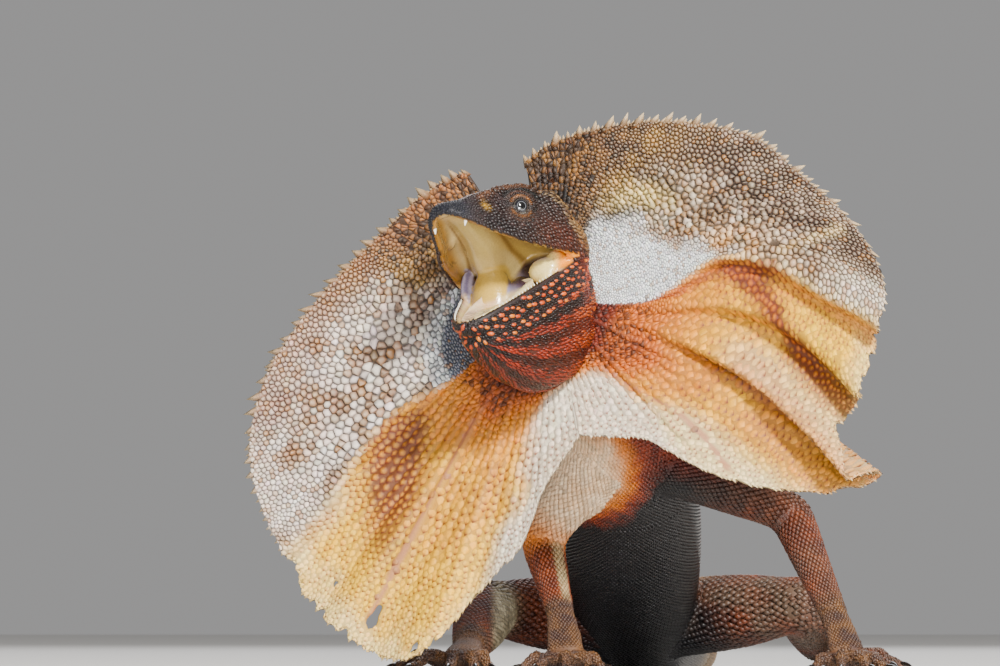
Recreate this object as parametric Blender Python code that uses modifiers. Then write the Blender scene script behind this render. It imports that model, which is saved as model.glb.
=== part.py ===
"""Frilled lizard in its threat display, life size: frill spread, mouth open, chest raised on the forelegs.

Metres, +Z up. The animal faces -Y with its left side to +X and rests on the floor at z = 0.
Every name with _LEFT or _RIGHT means the animal's own side.
"""

import math
import random
from dataclasses import dataclass

import bmesh
import bpy
from mathutils import Matrix, Vector

GAP = 0.0003
SEED = 7

# Head: its frame has its origin at the snout tip, y running back, z up from the plane of the lips.
SNOUT_TIP = Vector((-0.0543, -0.0305, 0.1550))
HEAD_YAW, HEAD_PITCH, HEAD_ROLL = 34.0, 19.3, 14.0
GAPE = 42.0
JAW_HINGE = Vector((0.0, 0.058, -0.003))
# Stations along the head: distance back, half width, rise above and drop below the lip plane.
SKULL = (
    (0.0038, 0.0048, 0.0034, 0.0016),
    (0.0076, 0.0084, 0.0056, 0.0022),
    (0.0145, 0.0118, 0.0088, 0.0034),
    (0.0230, 0.0153, 0.0148, 0.0040),
    (0.0310, 0.0186, 0.0196, 0.0042),
    (0.0400, 0.0213, 0.0212, 0.0046),
    (0.0490, 0.0236, 0.0204, 0.0058),
    (0.0570, 0.0236, 0.0180, 0.0105),
    (0.0640, 0.0195, 0.0160, 0.0120),
)
JAW = (
    (0.0066, 0.0044, 0.0008, 0.0046),
    (0.0115, 0.0082, 0.0012, 0.0062),
    (0.0210, 0.0128, 0.0012, 0.0084),
    (0.0330, 0.0169, 0.0012, 0.0100),
    (0.0450, 0.0204, 0.0012, 0.0115),
    (0.0550, 0.0220, 0.0010, 0.0122),
    (0.0630, 0.0185, 0.0008, 0.0105),
)
LIP = 0.0026
PALATE_HEIGHT = (0.0022, 0.0062)
MOUTH_FLOOR = 0.0042
TONGUE = (
    (0.0150, 0.0050, -0.0006, 0.0026),
    (0.0230, 0.0072, 0.0004, 0.0034),
    (0.0340, 0.0084, 0.0010, 0.0036),
    (0.0450, 0.0080, 0.0012, 0.0036),
)
LINING = (
    (0.0440, 0.0130, 0.0030, 0.0110),
    (0.0490, 0.0170, 0.0040, 0.0160),
    (0.0550, 0.0180, 0.0040, 0.0170),
    (0.0600, 0.0150, 0.0030, 0.0130),
)
THROAT_LEVEL = -0.006
THROAT = (
    (0.0115, 0.0070, 0.0030, 0.0060),
    (0.0180, 0.0103, 0.0040, 0.0150),
    (0.0290, 0.0146, 0.0050, 0.0255),
    (0.0410, 0.0180, 0.0060, 0.0310),
    (0.0540, 0.0202, 0.0060, 0.0325),
    (0.0650, 0.0188, 0.0060, 0.0300),
)
EYE_CENTRE = Vector((0.0129, 0.0300, 0.0085))
EYE_RADIUS = 0.0049
EYE_FACING = Vector((0.93, -0.27, 0.20))
LID_RADIUS, LID_THICKNESS, LID_OUT = 0.0045, 0.0013, 0.0028
BROW = (
    (0.0062, 0.0100, 0.0052), (0.0094, 0.0180, 0.0090), (0.0122, 0.0245, 0.0122),
    (0.0146, 0.0310, 0.0148), (0.0168, 0.0390, 0.0146),
)
BROW_RADIUS = 0.0016
NOSTRIL = Vector((0.0074, 0.0084, 0.0040))
NOSTRIL_RADIUS = 0.0013
EAR = Vector((0.0226, 0.0565, 0.0062))
EAR_RADIUS, EAR_DEPTH = 0.0044, 0.0012
FANG_LENGTH, FANG_RADIUS, FANG_BACKS = 0.0034, 0.0009, (0.0046, 0.0090)
TOOTH_LENGTH, TOOTH_RADIUS = 0.0018, 0.0008
UPPER_TOOTH_BACKS = (0.017, 0.022, 0.027, 0.032, 0.037)
LOWER_TOOTH_BACKS = (0.013, 0.018, 0.023, 0.028, 0.033, 0.038, 0.043)

# Trunk: one line from inside the head to the tail tip. Each station is a place, the turn and tilt of the
# body's left side there, in degrees and as a slope, and its half width, rise and drop.
TRUNK = (
    ((-0.0240, 0.0100, 0.1370), 30, 0.23, 0.0180, 0.0150, 0.0195),
    ((-0.0175, 0.0220, 0.1275), 28, 0.20, 0.0182, 0.0165, 0.0200),
    ((-0.0080, 0.0340, 0.1120), 20, 0.12, 0.0185, 0.0175, 0.0190),
    ((0.0030, 0.0440, 0.0970), 8, 0.05, 0.0205, 0.0190, 0.0195),
    ((0.0080, 0.0560, 0.0835), 0, 0.00, 0.0235, 0.0205, 0.0220),
    ((0.0100, 0.0810, 0.0680), 0, 0.00, 0.0250, 0.0205, 0.0235),
    ((0.0110, 0.1100, 0.0500), 0, 0.00, 0.0260, 0.0205, 0.0240),
    ((0.0130, 0.1400, 0.0330), 0, 0.00, 0.0240, 0.0190, 0.0220),
    ((0.0160, 0.1700, 0.0178), 0, 0.00, 0.0190, 0.0165, 0.0184),
    ((0.0210, 0.1980, 0.0132), 0, 0.00, 0.0142, 0.0136, 0.0137),
)
NECK_END, TORSO_END = 3, 9
# The tail lies on the floor: place along x and y, and radius.
TAIL = (
    (0.0320, 0.2400, 0.0106),
    (0.0390, 0.2950, 0.0087),
    (0.0400, 0.3550, 0.0070),
    (0.0300, 0.4150, 0.0057),
    (0.0110, 0.4720, 0.0046),
    (-0.0080, 0.5310, 0.0037),
    (-0.0130, 0.5910, 0.0029),
    (-0.0020, 0.6480, 0.0021),
    (0.0170, 0.6950, 0.0014),
)
TAIL_SINK = 0.05
TAIL_CUTS = (11, 13, 15)
TAIL_NAMES = ("tail_base", "tail_middle", "tail_rear", "tail_tip")
TRUNK_STEPS = 2

# Limbs: joint places, and radii at the start, middle and end of each length.
ARMS = {
    "left": ((0.0240, 0.0520, 0.0740), (0.0660, 0.0650, 0.0560), (0.0800, 0.0450, 0.0210)),
    "right": ((0.0000, 0.0500, 0.0755), (-0.0190, 0.0690, 0.0470), (-0.0128, 0.0480, 0.0215)),
}
LEGS = {
    "left": ((0.0290, 0.1640, 0.0200), (0.0740, 0.1360, 0.0250), (0.0800, 0.1820, 0.0100)),
    "right": ((0.0050, 0.1640, 0.0200), (-0.0370, 0.1270, 0.0235), (-0.0440, 0.0860, 0.0100)),
}
UPPER_ARM_RADII = (0.0118, 0.0092, 0.0072)
FOREARM_RADII = (0.0070, 0.0062, 0.0050)
THIGH_RADII = (0.0140, 0.0128, 0.0098)
SHIN_RADII = (0.0098, 0.0094, 0.0060)


@dataclass
class Foot:
    """A hand or foot: where its digits spring, which way it points and how its digits spread."""

    knuckles: tuple[float, float, float]
    heading: float
    half_width: float
    digit_radius: float
    digits: tuple[tuple[float, float], ...]


HAND_DIGITS = ((-62, 0.0085), (-30, 0.0135), (-4, 0.0165), (22, 0.0165), (58, 0.0110))
TOE_DIGITS = ((-40, 0.0100), (-20, 0.0170), (-4, 0.0260), (12, 0.0340), (42, 0.0200))
HANDS = {
    "left": Foot((0.0840, 0.0330, 0.0085), -20, 0.0066, 0.0023, HAND_DIGITS),
    "right": Foot((-0.0110, 0.0360, 0.0085), 4, 0.0066, 0.0023, HAND_DIGITS),
}
FEET = {
    "left": Foot((0.0910, 0.1620, 0.0062), -38, 0.0068, 0.0025, TOE_DIGITS),
    "right": Foot((-0.0470, 0.0640, 0.0062), 12, 0.0068, 0.0025, TOE_DIGITS),
}
CLAW_LENGTH, CLAW_RADIUS = 0.0062, 0.0012

# Frill: its frame has its origin at the neck. Angles are measured from the nape down each side to the throat.
FRILL_CENTRE = Vector((-0.0183, 0.0210, 0.1293))
FRILL_YAW, FRILL_PITCH, FRILL_ROLL = 22.0, 10.0, 20.0
FRILL_CUP = 0.006
ROOT_RADIUS = ((10, 0.0120), (60, 0.0135), (100, 0.0150), (140, 0.0190), (180, 0.0225))
MEMBRANE, RIM_SHARE = 0.0017, 0.5
FRILL_ROWS = 6
COLUMN_STEP, FOLDED_STEP, FOLDED = 5.0, 2.1, (108, 156)
FOLD_START = 0.12
SPINE_PITCH, SPINE_END = 0.0072, 128
SPINE_SINK, SPINE_SHARE, SPINE_SIDES = 0.0016, 0.42, 4
SPINE_LENGTH = ((10, 0.0024), (35, 0.0036), (60, 0.0040), (100, 0.0042), (116, 0.0032), (128, 0.0024))


@dataclass
class Lobe:
    """One side of the frill: radii of its rim by angle, its folds at the rim as angle, slide in degrees and
    forward throw, how far the ribs bow in mid length as angle and degrees, and the angles of its ribs."""

    side: int
    rim: tuple[tuple[float, float], ...]
    folds: tuple[tuple[float, float, float], ...]
    bow: tuple[tuple[float, float], ...]
    ribs: tuple[float, ...]


RIM_LEFT = (
    (10, 0.0445), (20, 0.0493), (35, 0.0555), (50, 0.0650), (64, 0.0770), (76, 0.0900), (88, 0.0990),
    (98, 0.1105), (107, 0.1213), (115, 0.1268), (121, 0.1235), (127, 0.1245), (130, 0.1200), (134, 0.1210),
    (138, 0.1360), (141, 0.1375), (146, 0.1190), (153, 0.0960), (160, 0.0680), (170, 0.0580), (180, 0.0505),
)
RIM_RIGHT = (
    (15, 0.0500), (22, 0.0520), (35, 0.0552), (50, 0.0605), (64, 0.0710), (76, 0.0855), (88, 0.1035),
    (100, 0.1165), (115, 0.1230), (122, 0.1300), (130, 0.1332), (137, 0.1350), (145, 0.1310), (150, 0.1100),
    (155, 0.0970), (160, 0.0900), (165, 0.0710), (172, 0.0620), (180, 0.0550),
)
LOBES = {
    "left": Lobe(
        1,
        RIM_LEFT,
        (
            (10, 0, 0.000), (60, 0, 0.002), (95, 0, 0.000), (109, 0, 0.003), (115, 0, 0.007), (121, 0, 0.002),
            (127, 1.5, 0.005), (130, -1, -0.007), (134, 0, -0.002), (138, 2, 0.007), (141, -1.5, -0.004),
            (146, 0, -0.001), (150, 0, 0.000), (153, 0, 0.003), (160, 0, 0.000), (180, 0, 0.000),
        ),
        ((10, 0), (80, -2), (100, -8), (115, -11.5), (130, -7), (141, -2), (153, 0), (180, 0)),
        (115, 138, 153),
    ),
    "right": Lobe(
        -1,
        RIM_RIGHT,
        (
            (10, 0, 0.000), (60, 0, 0.002), (100, 0, 0.000), (115, 0, 0.005), (122, 0, -0.002),
            (130, 0, 0.003), (137, 0, -0.002), (145, 0, 0.003), (150, 0, -0.002), (160, 0, 0.000),
            (180, 0, 0.000),
        ),
        ((10, 0), (180, 0)),
        (115, 130, 145),
    ),
}

COLOURS = {
    "skin_brown": ((0.20, 0.11, 0.07), 0.75),
    "skin_black": ((0.03, 0.03, 0.035), 0.70),
    "throat_red": ((0.42, 0.09, 0.04), 0.70),
    "frill_pale": ((0.72, 0.52, 0.34), 0.70),
    "mouth_flesh": ((0.82, 0.62, 0.28), 0.45),
    "eye_dark": ((0.05, 0.04, 0.03), 0.15),
}


@dataclass
class Ring:
    """One cross-section of a tube."""

    centre: Vector
    side: Vector
    up: Vector
    half_width: float
    rise: float
    drop: float


def turned(yaw: float, pitch: float, roll: float) -> Matrix:
    """A rotation that turns what faces -Y to its own right, lifts its front and raises its left side."""
    return (
        Matrix.Rotation(math.radians(-yaw), 4, "Z")
        @ Matrix.Rotation(math.radians(-pitch), 4, "X")
        @ Matrix.Rotation(math.radians(-roll), 4, "Y")
    )


HEAD_FRAME = Matrix.Translation(SNOUT_TIP) @ turned(HEAD_YAW, HEAD_PITCH, HEAD_ROLL)
JAW_FRAME = (
    HEAD_FRAME
    @ Matrix.Translation(JAW_HINGE)
    @ Matrix.Rotation(math.radians(GAPE), 4, "X")
    @ Matrix.Translation(-JAW_HINGE)
)
FRILL_FRAME = Matrix.Translation(FRILL_CENTRE) @ turned(FRILL_YAW, FRILL_PITCH, FRILL_ROLL)


def clear_scene() -> None:
    """Removes the objects that the file starts with."""
    for obj in list(bpy.data.objects):
        bpy.data.objects.remove(obj)


def material(name: str) -> bpy.types.Material:
    """The material of that name, made the first time it is asked for."""
    found = bpy.data.materials.get(name)
    if found:
        return found
    colour, roughness = COLOURS[name]
    made = bpy.data.materials.new(name)
    made.use_nodes = True
    shader = made.node_tree.nodes["Principled BSDF"]
    shader.inputs["Base Color"].default_value = (*colour, 1.0)
    shader.inputs["Roughness"].default_value = roughness
    shader.inputs["Metallic"].default_value = 0.0
    return made


def smooth_value(table, x: float, column: int = 1) -> float:
    """A value read from a smooth curve through the table's rows, whose first column is x."""
    rows = sorted(table)
    x = min(max(x, rows[0][0]), rows[-1][0])
    index = next(i for i in range(len(rows) - 1) if x <= rows[i + 1][0])
    x0, x1 = rows[index][0], rows[index + 1][0]
    y0, y1 = rows[index][column], rows[index + 1][column]
    before, after = rows[max(index - 1, 0)], rows[min(index + 2, len(rows) - 1)]
    slope0 = (y1 - before[column]) / (x1 - before[0])
    slope1 = (after[column] - y0) / (after[0] - x0)
    span = x1 - x0
    t = (x - x0) / span
    return (
        (2 * t**3 - 3 * t**2 + 1) * y0
        + (t**3 - 2 * t**2 + t) * span * slope0
        + (3 * t**2 - 2 * t**3) * y1
        + (t**3 - t**2) * span * slope1
    )


def rings_through(stations, steps: int) -> list[Ring]:
    """Rings on a smooth line through stations of (place, side hint, half width, rise, drop)."""
    rows = [(i, *place, *hint, *sizes) for i, (place, hint, *sizes) in enumerate(stations)]
    count = (len(rows) - 1) * steps
    values = [[smooth_value(rows, i / steps, c) for c in range(1, 10)] for i in range(count + 1)]
    rings = []
    for i, row in enumerate(values):
        ahead, behind = values[min(i + 1, count)], values[max(i - 1, 0)]
        tangent = (Vector(ahead[:3]) - Vector(behind[:3])).normalized()
        hint = Vector(row[3:6])
        side = (hint - tangent * hint.dot(tangent)).normalized()
        rings.append(Ring(Vector(row[:3]), side, side.cross(tangent), *row[6:9]))
    return rings


def limb_rings(start, end, radii) -> list[Ring]:
    """Rings of a round length of limb that swells and tapers from start to end."""
    start, end = Vector(start), Vector(end)
    axis = (end - start).normalized()
    hint = Vector((1, 0, 0)) if abs(axis.x) < 0.7 else Vector((0, 1, 0))
    middle = start.lerp(end, 0.5)
    return rings_through([(tuple(p), hint, r, r, r) for p, r in zip((start, middle, end), radii)], 2)


def superellipse(angle: float, power: float) -> tuple[float, float]:
    """A point of a unit superellipse: power 2 is a circle and more is squarer."""
    c, s = math.cos(angle), math.sin(angle)
    return math.copysign(abs(c) ** (2 / power), c), math.copysign(abs(s) ** (2 / power), s)


def ring_points(
    ring: Ring, sides: int, power: float, grow: float, scale: float, shift: Vector
) -> list[Vector]:
    """The points round a ring, grown by a margin, scaled about its centre and shifted."""
    points = []
    for k in range(sides):
        across, along = superellipse(2 * math.pi * k / sides, power)
        height = ring.rise if along > 0 else ring.drop
        out = ring.side * across * (ring.half_width + grow) + ring.up * along * (height + grow)
        points.append(ring.centre + shift + out * scale)
    return points


def tube(name: str, rings: list[Ring], sides: int, caps=(0.0, 0.0), power=2.0, grow=0.0) -> bpy.types.Object:
    """A closed loft through rings. A cap is the length of a rounded end, and 0 leaves the end flat."""
    mesh = bmesh.new()
    loops = []
    for end, cap in zip((0, -1), caps):
        ring = rings[end]
        out = ring.up.cross(ring.side) * (-1 if end == 0 else 1)
        if (out.dot(rings[end].centre - rings[1 if end == 0 else -2].centre)) < 0:
            out = -out
        steps = 2 if cap else 1
        rounded = []
        for i in range(steps):
            turn = math.pi / 2 * i / steps
            shift = out * ((cap + grow) * math.sin(turn) if cap else grow)
            rounded.append(ring_points(ring, sides, power, grow, math.cos(turn), shift))
        pole = mesh.verts.new(ring.centre + out * (cap + grow))
        rounded = [[mesh.verts.new(p) for p in points] for points in rounded]
        loops.append((pole, rounded))
    middle = []
    for ring in rings[1:-1]:
        middle.append([mesh.verts.new(p) for p in ring_points(ring, sides, power, grow, 1, Vector())])
    chain = loops[0][1][::-1] + middle + loops[1][1]
    for first, second in zip(chain, chain[1:]):
        for k in range(sides):
            mesh.faces.new((first[k], first[(k + 1) % sides], second[(k + 1) % sides], second[k]))
    for pole, loop in ((loops[0][0], chain[0]), (loops[1][0], chain[-1])):
        for k in range(sides):
            mesh.faces.new((pole, loop[k], loop[(k + 1) % sides]))
    return finished_mesh(name, mesh)


def finished_mesh(name: str, mesh: bmesh.types.BMesh, frame: Matrix | None = None) -> bpy.types.Object:
    """Turns the faces outwards and makes an object, placed by a frame."""
    bmesh.ops.recalc_face_normals(mesh, faces=mesh.faces)
    data = bpy.data.meshes.new(name)
    mesh.to_mesh(data)
    mesh.free()
    obj = bpy.data.objects.new(name, data)
    bpy.context.scene.collection.objects.link(obj)
    if frame:
        obj.matrix_world = frame
    return obj


def framed_tube(name: str, frame: Matrix, stations, sides: int, caps, level=0.0, power=2.4, grow=0.0):
    """A tube along the y axis of a frame, from stations of (back, half width, rise, drop)."""
    rows = [((0, back, level), (1, 0, 0), *sizes) for back, *sizes in stations]
    obj = tube(name, rings_through(rows, 2), sides, caps, power, grow)
    obj.matrix_world = frame
    return obj


def ball(centre, radius: float, frame: Matrix, segments=12) -> bpy.types.Object:
    """A sphere placed in a frame."""
    mesh = bmesh.new()
    bmesh.ops.create_uvsphere(mesh, u_segments=segments, v_segments=segments // 2 + 1, radius=radius)
    return finished_mesh("ball", mesh, frame @ Matrix.Translation(centre))


def cone_along(root: Vector, direction: Vector, radius: float, length: float, sides: int) -> bpy.types.Object:
    """A pointed cone that stands on its root and points along a direction."""
    mesh = bmesh.new()
    bmesh.ops.create_cone(
        mesh, cap_ends=True, segments=sides, radius1=radius, radius2=radius * 0.12, depth=length
    )
    turn = direction.to_track_quat("Z", "Y").to_matrix().to_4x4()
    return finished_mesh("cone", mesh, Matrix.Translation(root + direction * length / 2) @ turn)


def boolean(obj: bpy.types.Object, others: list[bpy.types.Object], operation: str) -> None:
    """Joins others to an object or cuts them from it, applies that and removes them."""
    if not others:
        return
    operands = bpy.data.collections.new("operands")
    bpy.context.scene.collection.children.link(operands)
    for other in others:
        operands.objects.link(other)
    change = obj.modifiers.new(operation.lower(), "BOOLEAN")
    change.operation = operation
    change.operand_type = "COLLECTION"
    change.collection = operands
    change.solver = "MANIFOLD"
    bpy.context.view_layer.update()
    graph = bpy.context.evaluated_depsgraph_get()
    made = bpy.data.meshes.new_from_object(obj.evaluated_get(graph))
    obj.modifiers.remove(change)
    obj.data = made
    for other in others:
        bpy.data.objects.remove(other)
    bpy.data.collections.remove(operands)


def keep_largest(obj: bpy.types.Object) -> None:
    """Leaves only the largest closed surface of an object."""
    mesh = bmesh.new()
    mesh.from_mesh(obj.data)
    left, islands = set(mesh.faces), []
    while left:
        island, edge = set(), [left.pop()]
        while edge:
            face = edge.pop()
            island.add(face)
            found = {f for e in face.edges for f in e.link_faces} & left
            left -= found
            edge += found
        islands.append(island)
    if len(islands) > 1:
        main = max(islands, key=enclosed)
        bmesh.ops.delete(mesh, geom=[f for i in islands if i is not main for f in i], context="FACES")
        mesh.to_mesh(obj.data)
    mesh.free()


def enclosed(faces) -> float:
    """The volume that a closed set of faces holds."""
    total = 0.0
    for face in faces:
        corners = [v.co for v in face.verts]
        for second, third in zip(corners[1:], corners[2:]):
            total += corners[0].dot(second.cross(third)) / 6
    return total


def floor_cutter() -> bpy.types.Object:
    """A slab under the floor that gives whatever rests there its flats."""
    mesh = bmesh.new()
    bmesh.ops.create_cube(mesh, size=1.0)
    bmesh.ops.scale(mesh, vec=(1.0, 2.0, 0.05), verts=mesh.verts)
    bmesh.ops.translate(mesh, vec=(0.0, 0.3, -0.025), verts=mesh.verts)
    return finished_mesh("floor_cutter", mesh)


def finish(obj: bpy.types.Object, name: str, finish_name: str) -> bpy.types.Object:
    """Names and shades a node and gives it its material."""
    keep_largest(obj)
    obj.name = name
    obj.data.name = name
    obj.data.materials.clear()
    obj.data.materials.append(material(finish_name))
    obj.data.shade_smooth()
    obj.data.set_sharp_from_angle(angle=math.radians(50))
    return obj


def skull_hull(grow=0.0) -> bpy.types.Object:
    """The upper head as one smooth form."""
    return framed_tube("skull", HEAD_FRAME, SKULL, 18, (0.0022, 0.004), power=2.5, grow=grow)


def jaw_hull(grow=0.0) -> bpy.types.Object:
    """The lower jaw as one smooth form."""
    return framed_tube("jaw", JAW_FRAME, JAW, 16, (0.002, 0.003), power=2.5, grow=grow)


def throat_hull(grow=0.0) -> bpy.types.Object:
    """The loose skin of the throat, pushed down by the spread hyoid bones."""
    return framed_tube("throat", JAW_FRAME, THROAT, 14, (0.003, 0.004), THROAT_LEVEL, 2.1, grow)


def lining_hull(grow=0.0) -> bpy.types.Object:
    """The flesh that closes the back of the mouth."""
    return framed_tube("lining", HEAD_FRAME, LINING, 14, (0.002, 0.002), -0.002, 2.2, grow)


def eye_ball(side: int, grow=0.0) -> bpy.types.Object:
    """One eyeball."""
    centre = Vector((EYE_CENTRE.x * side, EYE_CENTRE.y, EYE_CENTRE.z))
    return ball(centre, EYE_RADIUS + grow, HEAD_FRAME, 14)


def lid(side: int) -> bpy.types.Object:
    """The ring of scaly lid round one eye."""
    mesh = bmesh.new()
    circle = bmesh.ops.create_circle(mesh, radius=LID_THICKNESS, segments=6)["verts"]
    bmesh.ops.rotate(mesh, cent=(0, 0, 0), matrix=Matrix.Rotation(math.pi / 2, 3, "X"), verts=circle)
    bmesh.ops.translate(mesh, vec=(LID_RADIUS, 0, 0), verts=circle)
    bmesh.ops.spin(
        mesh, geom=mesh.edges[:], cent=(0, 0, 0), axis=(0, 0, 1), angle=2 * math.pi, steps=16, use_merge=True
    )
    facing = Vector((EYE_FACING.x * side, EYE_FACING.y, EYE_FACING.z)).normalized()
    centre = Vector((EYE_CENTRE.x * side, EYE_CENTRE.y, EYE_CENTRE.z)) + facing * LID_OUT
    turn = facing.to_track_quat("Z", "Y").to_matrix().to_4x4()
    return finished_mesh("lid", mesh, HEAD_FRAME @ Matrix.Translation(centre) @ turn)


def brow(side: int) -> bpy.types.Object:
    """The ridge of scales that runs from the snout over one eye."""
    rows = [((x * side, y, z), (1, 0, 0), BROW_RADIUS, BROW_RADIUS, BROW_RADIUS) for x, y, z in BROW]
    obj = tube("brow", rings_through(rows, 1), 6, (0.001, 0.001))
    obj.matrix_world = HEAD_FRAME
    return obj


def teeth(frame: Matrix, stations, backs, level: float, direction: int, length: float, radius: float):
    """A row of small teeth along both sides of a jaw."""
    rows = [(s[0], s[1]) for s in stations]
    outward = (frame.to_3x3() @ Vector((0, 0, direction))).normalized()
    made = []
    for back in backs:
        inside = smooth_value(rows, back) - LIP * 0.55
        for side in (1, -1):
            root = frame @ Vector((inside * side, back, level))
            made.append(cone_along(root, outward, radius, length, 4))
    return made


def mouth_cutter(frame: Matrix, stations, heights, opening: float, rises: bool) -> bpy.types.Object:
    """The hollow inside the lips of the palate, or of the lower jaw."""
    rows = []
    inner = [s for s in stations if 0.003 < s[0] < 0.056]
    for i, (back, half_width, _, _) in enumerate(inner):
        depth = heights[0] + (heights[1] - heights[0]) * min(1.0, 2 * i / len(inner))
        up, down = (depth, opening) if rises else (opening, depth)
        rows.append((back, half_width - LIP, up, down))
    return framed_tube("mouth", frame, rows, 12, (0.0008, 0.001), 0.0, 2.6)


def make_head() -> None:
    """The upper head, with lids, brows, nostrils, ears, palate and upper teeth, and both eyes."""
    head = skull_hull()
    joined = [piece for side in (1, -1) for piece in (lid(side), brow(side))]
    boolean(head, joined, "UNION")
    cutters = [eye_ball(side, GAP) for side in (1, -1)]
    cutters.append(mouth_cutter(HEAD_FRAME, SKULL, PALATE_HEIGHT, 0.018, True))
    for side in (1, -1):
        cutters.append(ball((NOSTRIL.x * side, NOSTRIL.y, NOSTRIL.z), NOSTRIL_RADIUS, HEAD_FRAME, 8))
        cutters.append(ear_cutter(side))
    boolean(head, cutters, "DIFFERENCE")
    rows = teeth(HEAD_FRAME, SKULL, FANG_BACKS, -0.0002, -1, FANG_LENGTH, FANG_RADIUS)
    rows += teeth(HEAD_FRAME, SKULL, UPPER_TOOTH_BACKS, -0.0012, -1, TOOTH_LENGTH, TOOTH_RADIUS)
    boolean(head, rows, "UNION")
    finish(head, "head", "skin_brown")
    for side, name in ((1, "eye_left"), (-1, "eye_right")):
        finish(eye_ball(side), name, "eye_dark")


def ear_cutter(side: int) -> bpy.types.Object:
    """A flat ball that leaves the shallow cup of one ear."""
    obj = ball((EAR.x * side, EAR.y, EAR.z), EAR_RADIUS, HEAD_FRAME, 10)
    obj.data.transform(Matrix.Diagonal((EAR_DEPTH / EAR_RADIUS, 1, 1, 1)))
    return obj


def make_jaw() -> None:
    """The lower jaw with its lip, floor and teeth, the tongue, the mouth's lining and the throat."""
    jaw = jaw_hull()
    boolean(jaw, [mouth_cutter(JAW_FRAME, JAW, (0.0030, MOUTH_FLOOR), 0.010, False)], "DIFFERENCE")
    rows = teeth(JAW_FRAME, JAW, LOWER_TOOTH_BACKS, 0.0002, 1, TOOTH_LENGTH, TOOTH_RADIUS)
    boolean(jaw, rows, "UNION")
    boolean(jaw, [skull_hull(GAP)], "DIFFERENCE")
    finish(jaw, "lower_jaw", "throat_red")
    lining = lining_hull()
    boolean(lining, [skull_hull(GAP), jaw_hull(GAP), neck_hull(GAP)], "DIFFERENCE")
    finish(lining, "mouth_lining", "mouth_flesh")
    tongue = framed_tube("tongue", JAW_FRAME, TONGUE, 12, (0.003, 0.001), -0.0002)
    boolean(tongue, [lining_hull(GAP), skull_hull(GAP)], "DIFFERENCE")
    finish(tongue, "tongue", "mouth_flesh")
    throat = throat_hull()
    boolean(throat, [skull_hull(GAP), jaw_hull(GAP), neck_hull(GAP), lining_hull(GAP)], "DIFFERENCE")
    finish(throat, "throat", "throat_red")


def trunk_rings() -> list[Ring]:
    """The rings of the whole trunk and tail."""
    rows = []
    for place, turn, tilt, half_width, rise, drop in TRUNK:
        angle = math.radians(turn)
        rows.append((place, (math.cos(angle), -math.sin(angle), tilt), half_width, rise, drop))
    for x, y, radius in TAIL:
        rows.append(((x, y, radius * (1 - TAIL_SINK)), (1, 0, 0), radius, radius, radius))
    return rings_through(rows, TRUNK_STEPS)


def trunk_length(start: int, end: int, name="trunk", grow=0.0, caps=(0.0, 0.0)) -> bpy.types.Object:
    """The trunk between two stations, set back from both by half the gap that parts its lengths."""
    rings = trunk_rings()[start * TRUNK_STEPS : end * TRUNK_STEPS + 1]
    ends = []
    for ring, other in ((rings[0], rings[1]), (rings[-1], rings[-2])):
        inward = (other.centre - ring.centre).normalized() * GAP / 2
        ends.append(
            Ring(ring.centre + inward, ring.side, ring.up, ring.half_width, ring.rise, ring.drop)
        )
    rings = [ends[0], *rings[1:-1], ends[1]]
    return tube(name, rings, 16, caps, 2.1, grow)


def neck_hull(grow=0.0) -> bpy.types.Object:
    """The neck as one smooth form."""
    return trunk_length(0, NECK_END, grow=grow)


def make_trunk() -> None:
    """The neck, torso and the lengths of the tail."""
    neck = neck_hull()
    boolean(neck, [skull_hull(GAP), jaw_hull(GAP)], "DIFFERENCE")
    finish(neck, "neck", "skin_brown")
    torso = trunk_length(NECK_END, TORSO_END)
    boolean(torso, [floor_cutter()], "DIFFERENCE")
    finish(torso, "torso", "skin_black")
    last = len(TRUNK) + len(TAIL) - 1
    for name, start, end in zip(TAIL_NAMES, (TORSO_END, *TAIL_CUTS), (*TAIL_CUTS, last)):
        tail = trunk_length(start, end, caps=(0.0, 0.002 if end == last else 0.0))
        boolean(tail, [floor_cutter()], "DIFFERENCE")
        finish(tail, name, "skin_brown")


def limb_hull(start, end, radii, grow=0.0) -> bpy.types.Object:
    """One length of a limb with round ends."""
    return tube("limb", limb_rings(start, end, radii), 12, (radii[0] * 0.8, radii[2] * 0.8), grow=grow)


def digit(root: Vector, heading: float, length: float, radius: float) -> list[bpy.types.Object]:
    """A finger or toe that arches down to the floor, and its curved claw."""
    angle = math.radians(heading)
    ahead = Vector((-math.sin(angle), -math.cos(angle), 0))
    hint = Vector((math.cos(angle), -math.sin(angle), 0))
    knuckle = root + ahead * length * 0.5 + Vector((0, 0, radius * 3.1 - root.z))
    tip = root + ahead * length + Vector((0, 0, radius * 1.15 - root.z))
    shares = ((root, 1.15), (knuckle, 1.0), (tip, 0.86))
    rows = [(tuple(place), hint, *(radius * share,) * 3) for place, share in shares]
    finger = tube("digit", rings_through(rows, 1), 6, (0, radius * 0.6))
    claw_rows = []
    for along, drop, share in ((-0.25, 0.0, 1.0), (0.35, -0.0002, 0.8), (1.0, -0.0014, 0.22)):
        place = tip + ahead * CLAW_LENGTH * along + Vector((0, 0, 0.0004 + drop))
        claw_rows.append((tuple(place), hint, *(CLAW_RADIUS * share,) * 3))
    return [finger, tube("claw", rings_through(claw_rows, 1), 4, (0, 0))]


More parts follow.
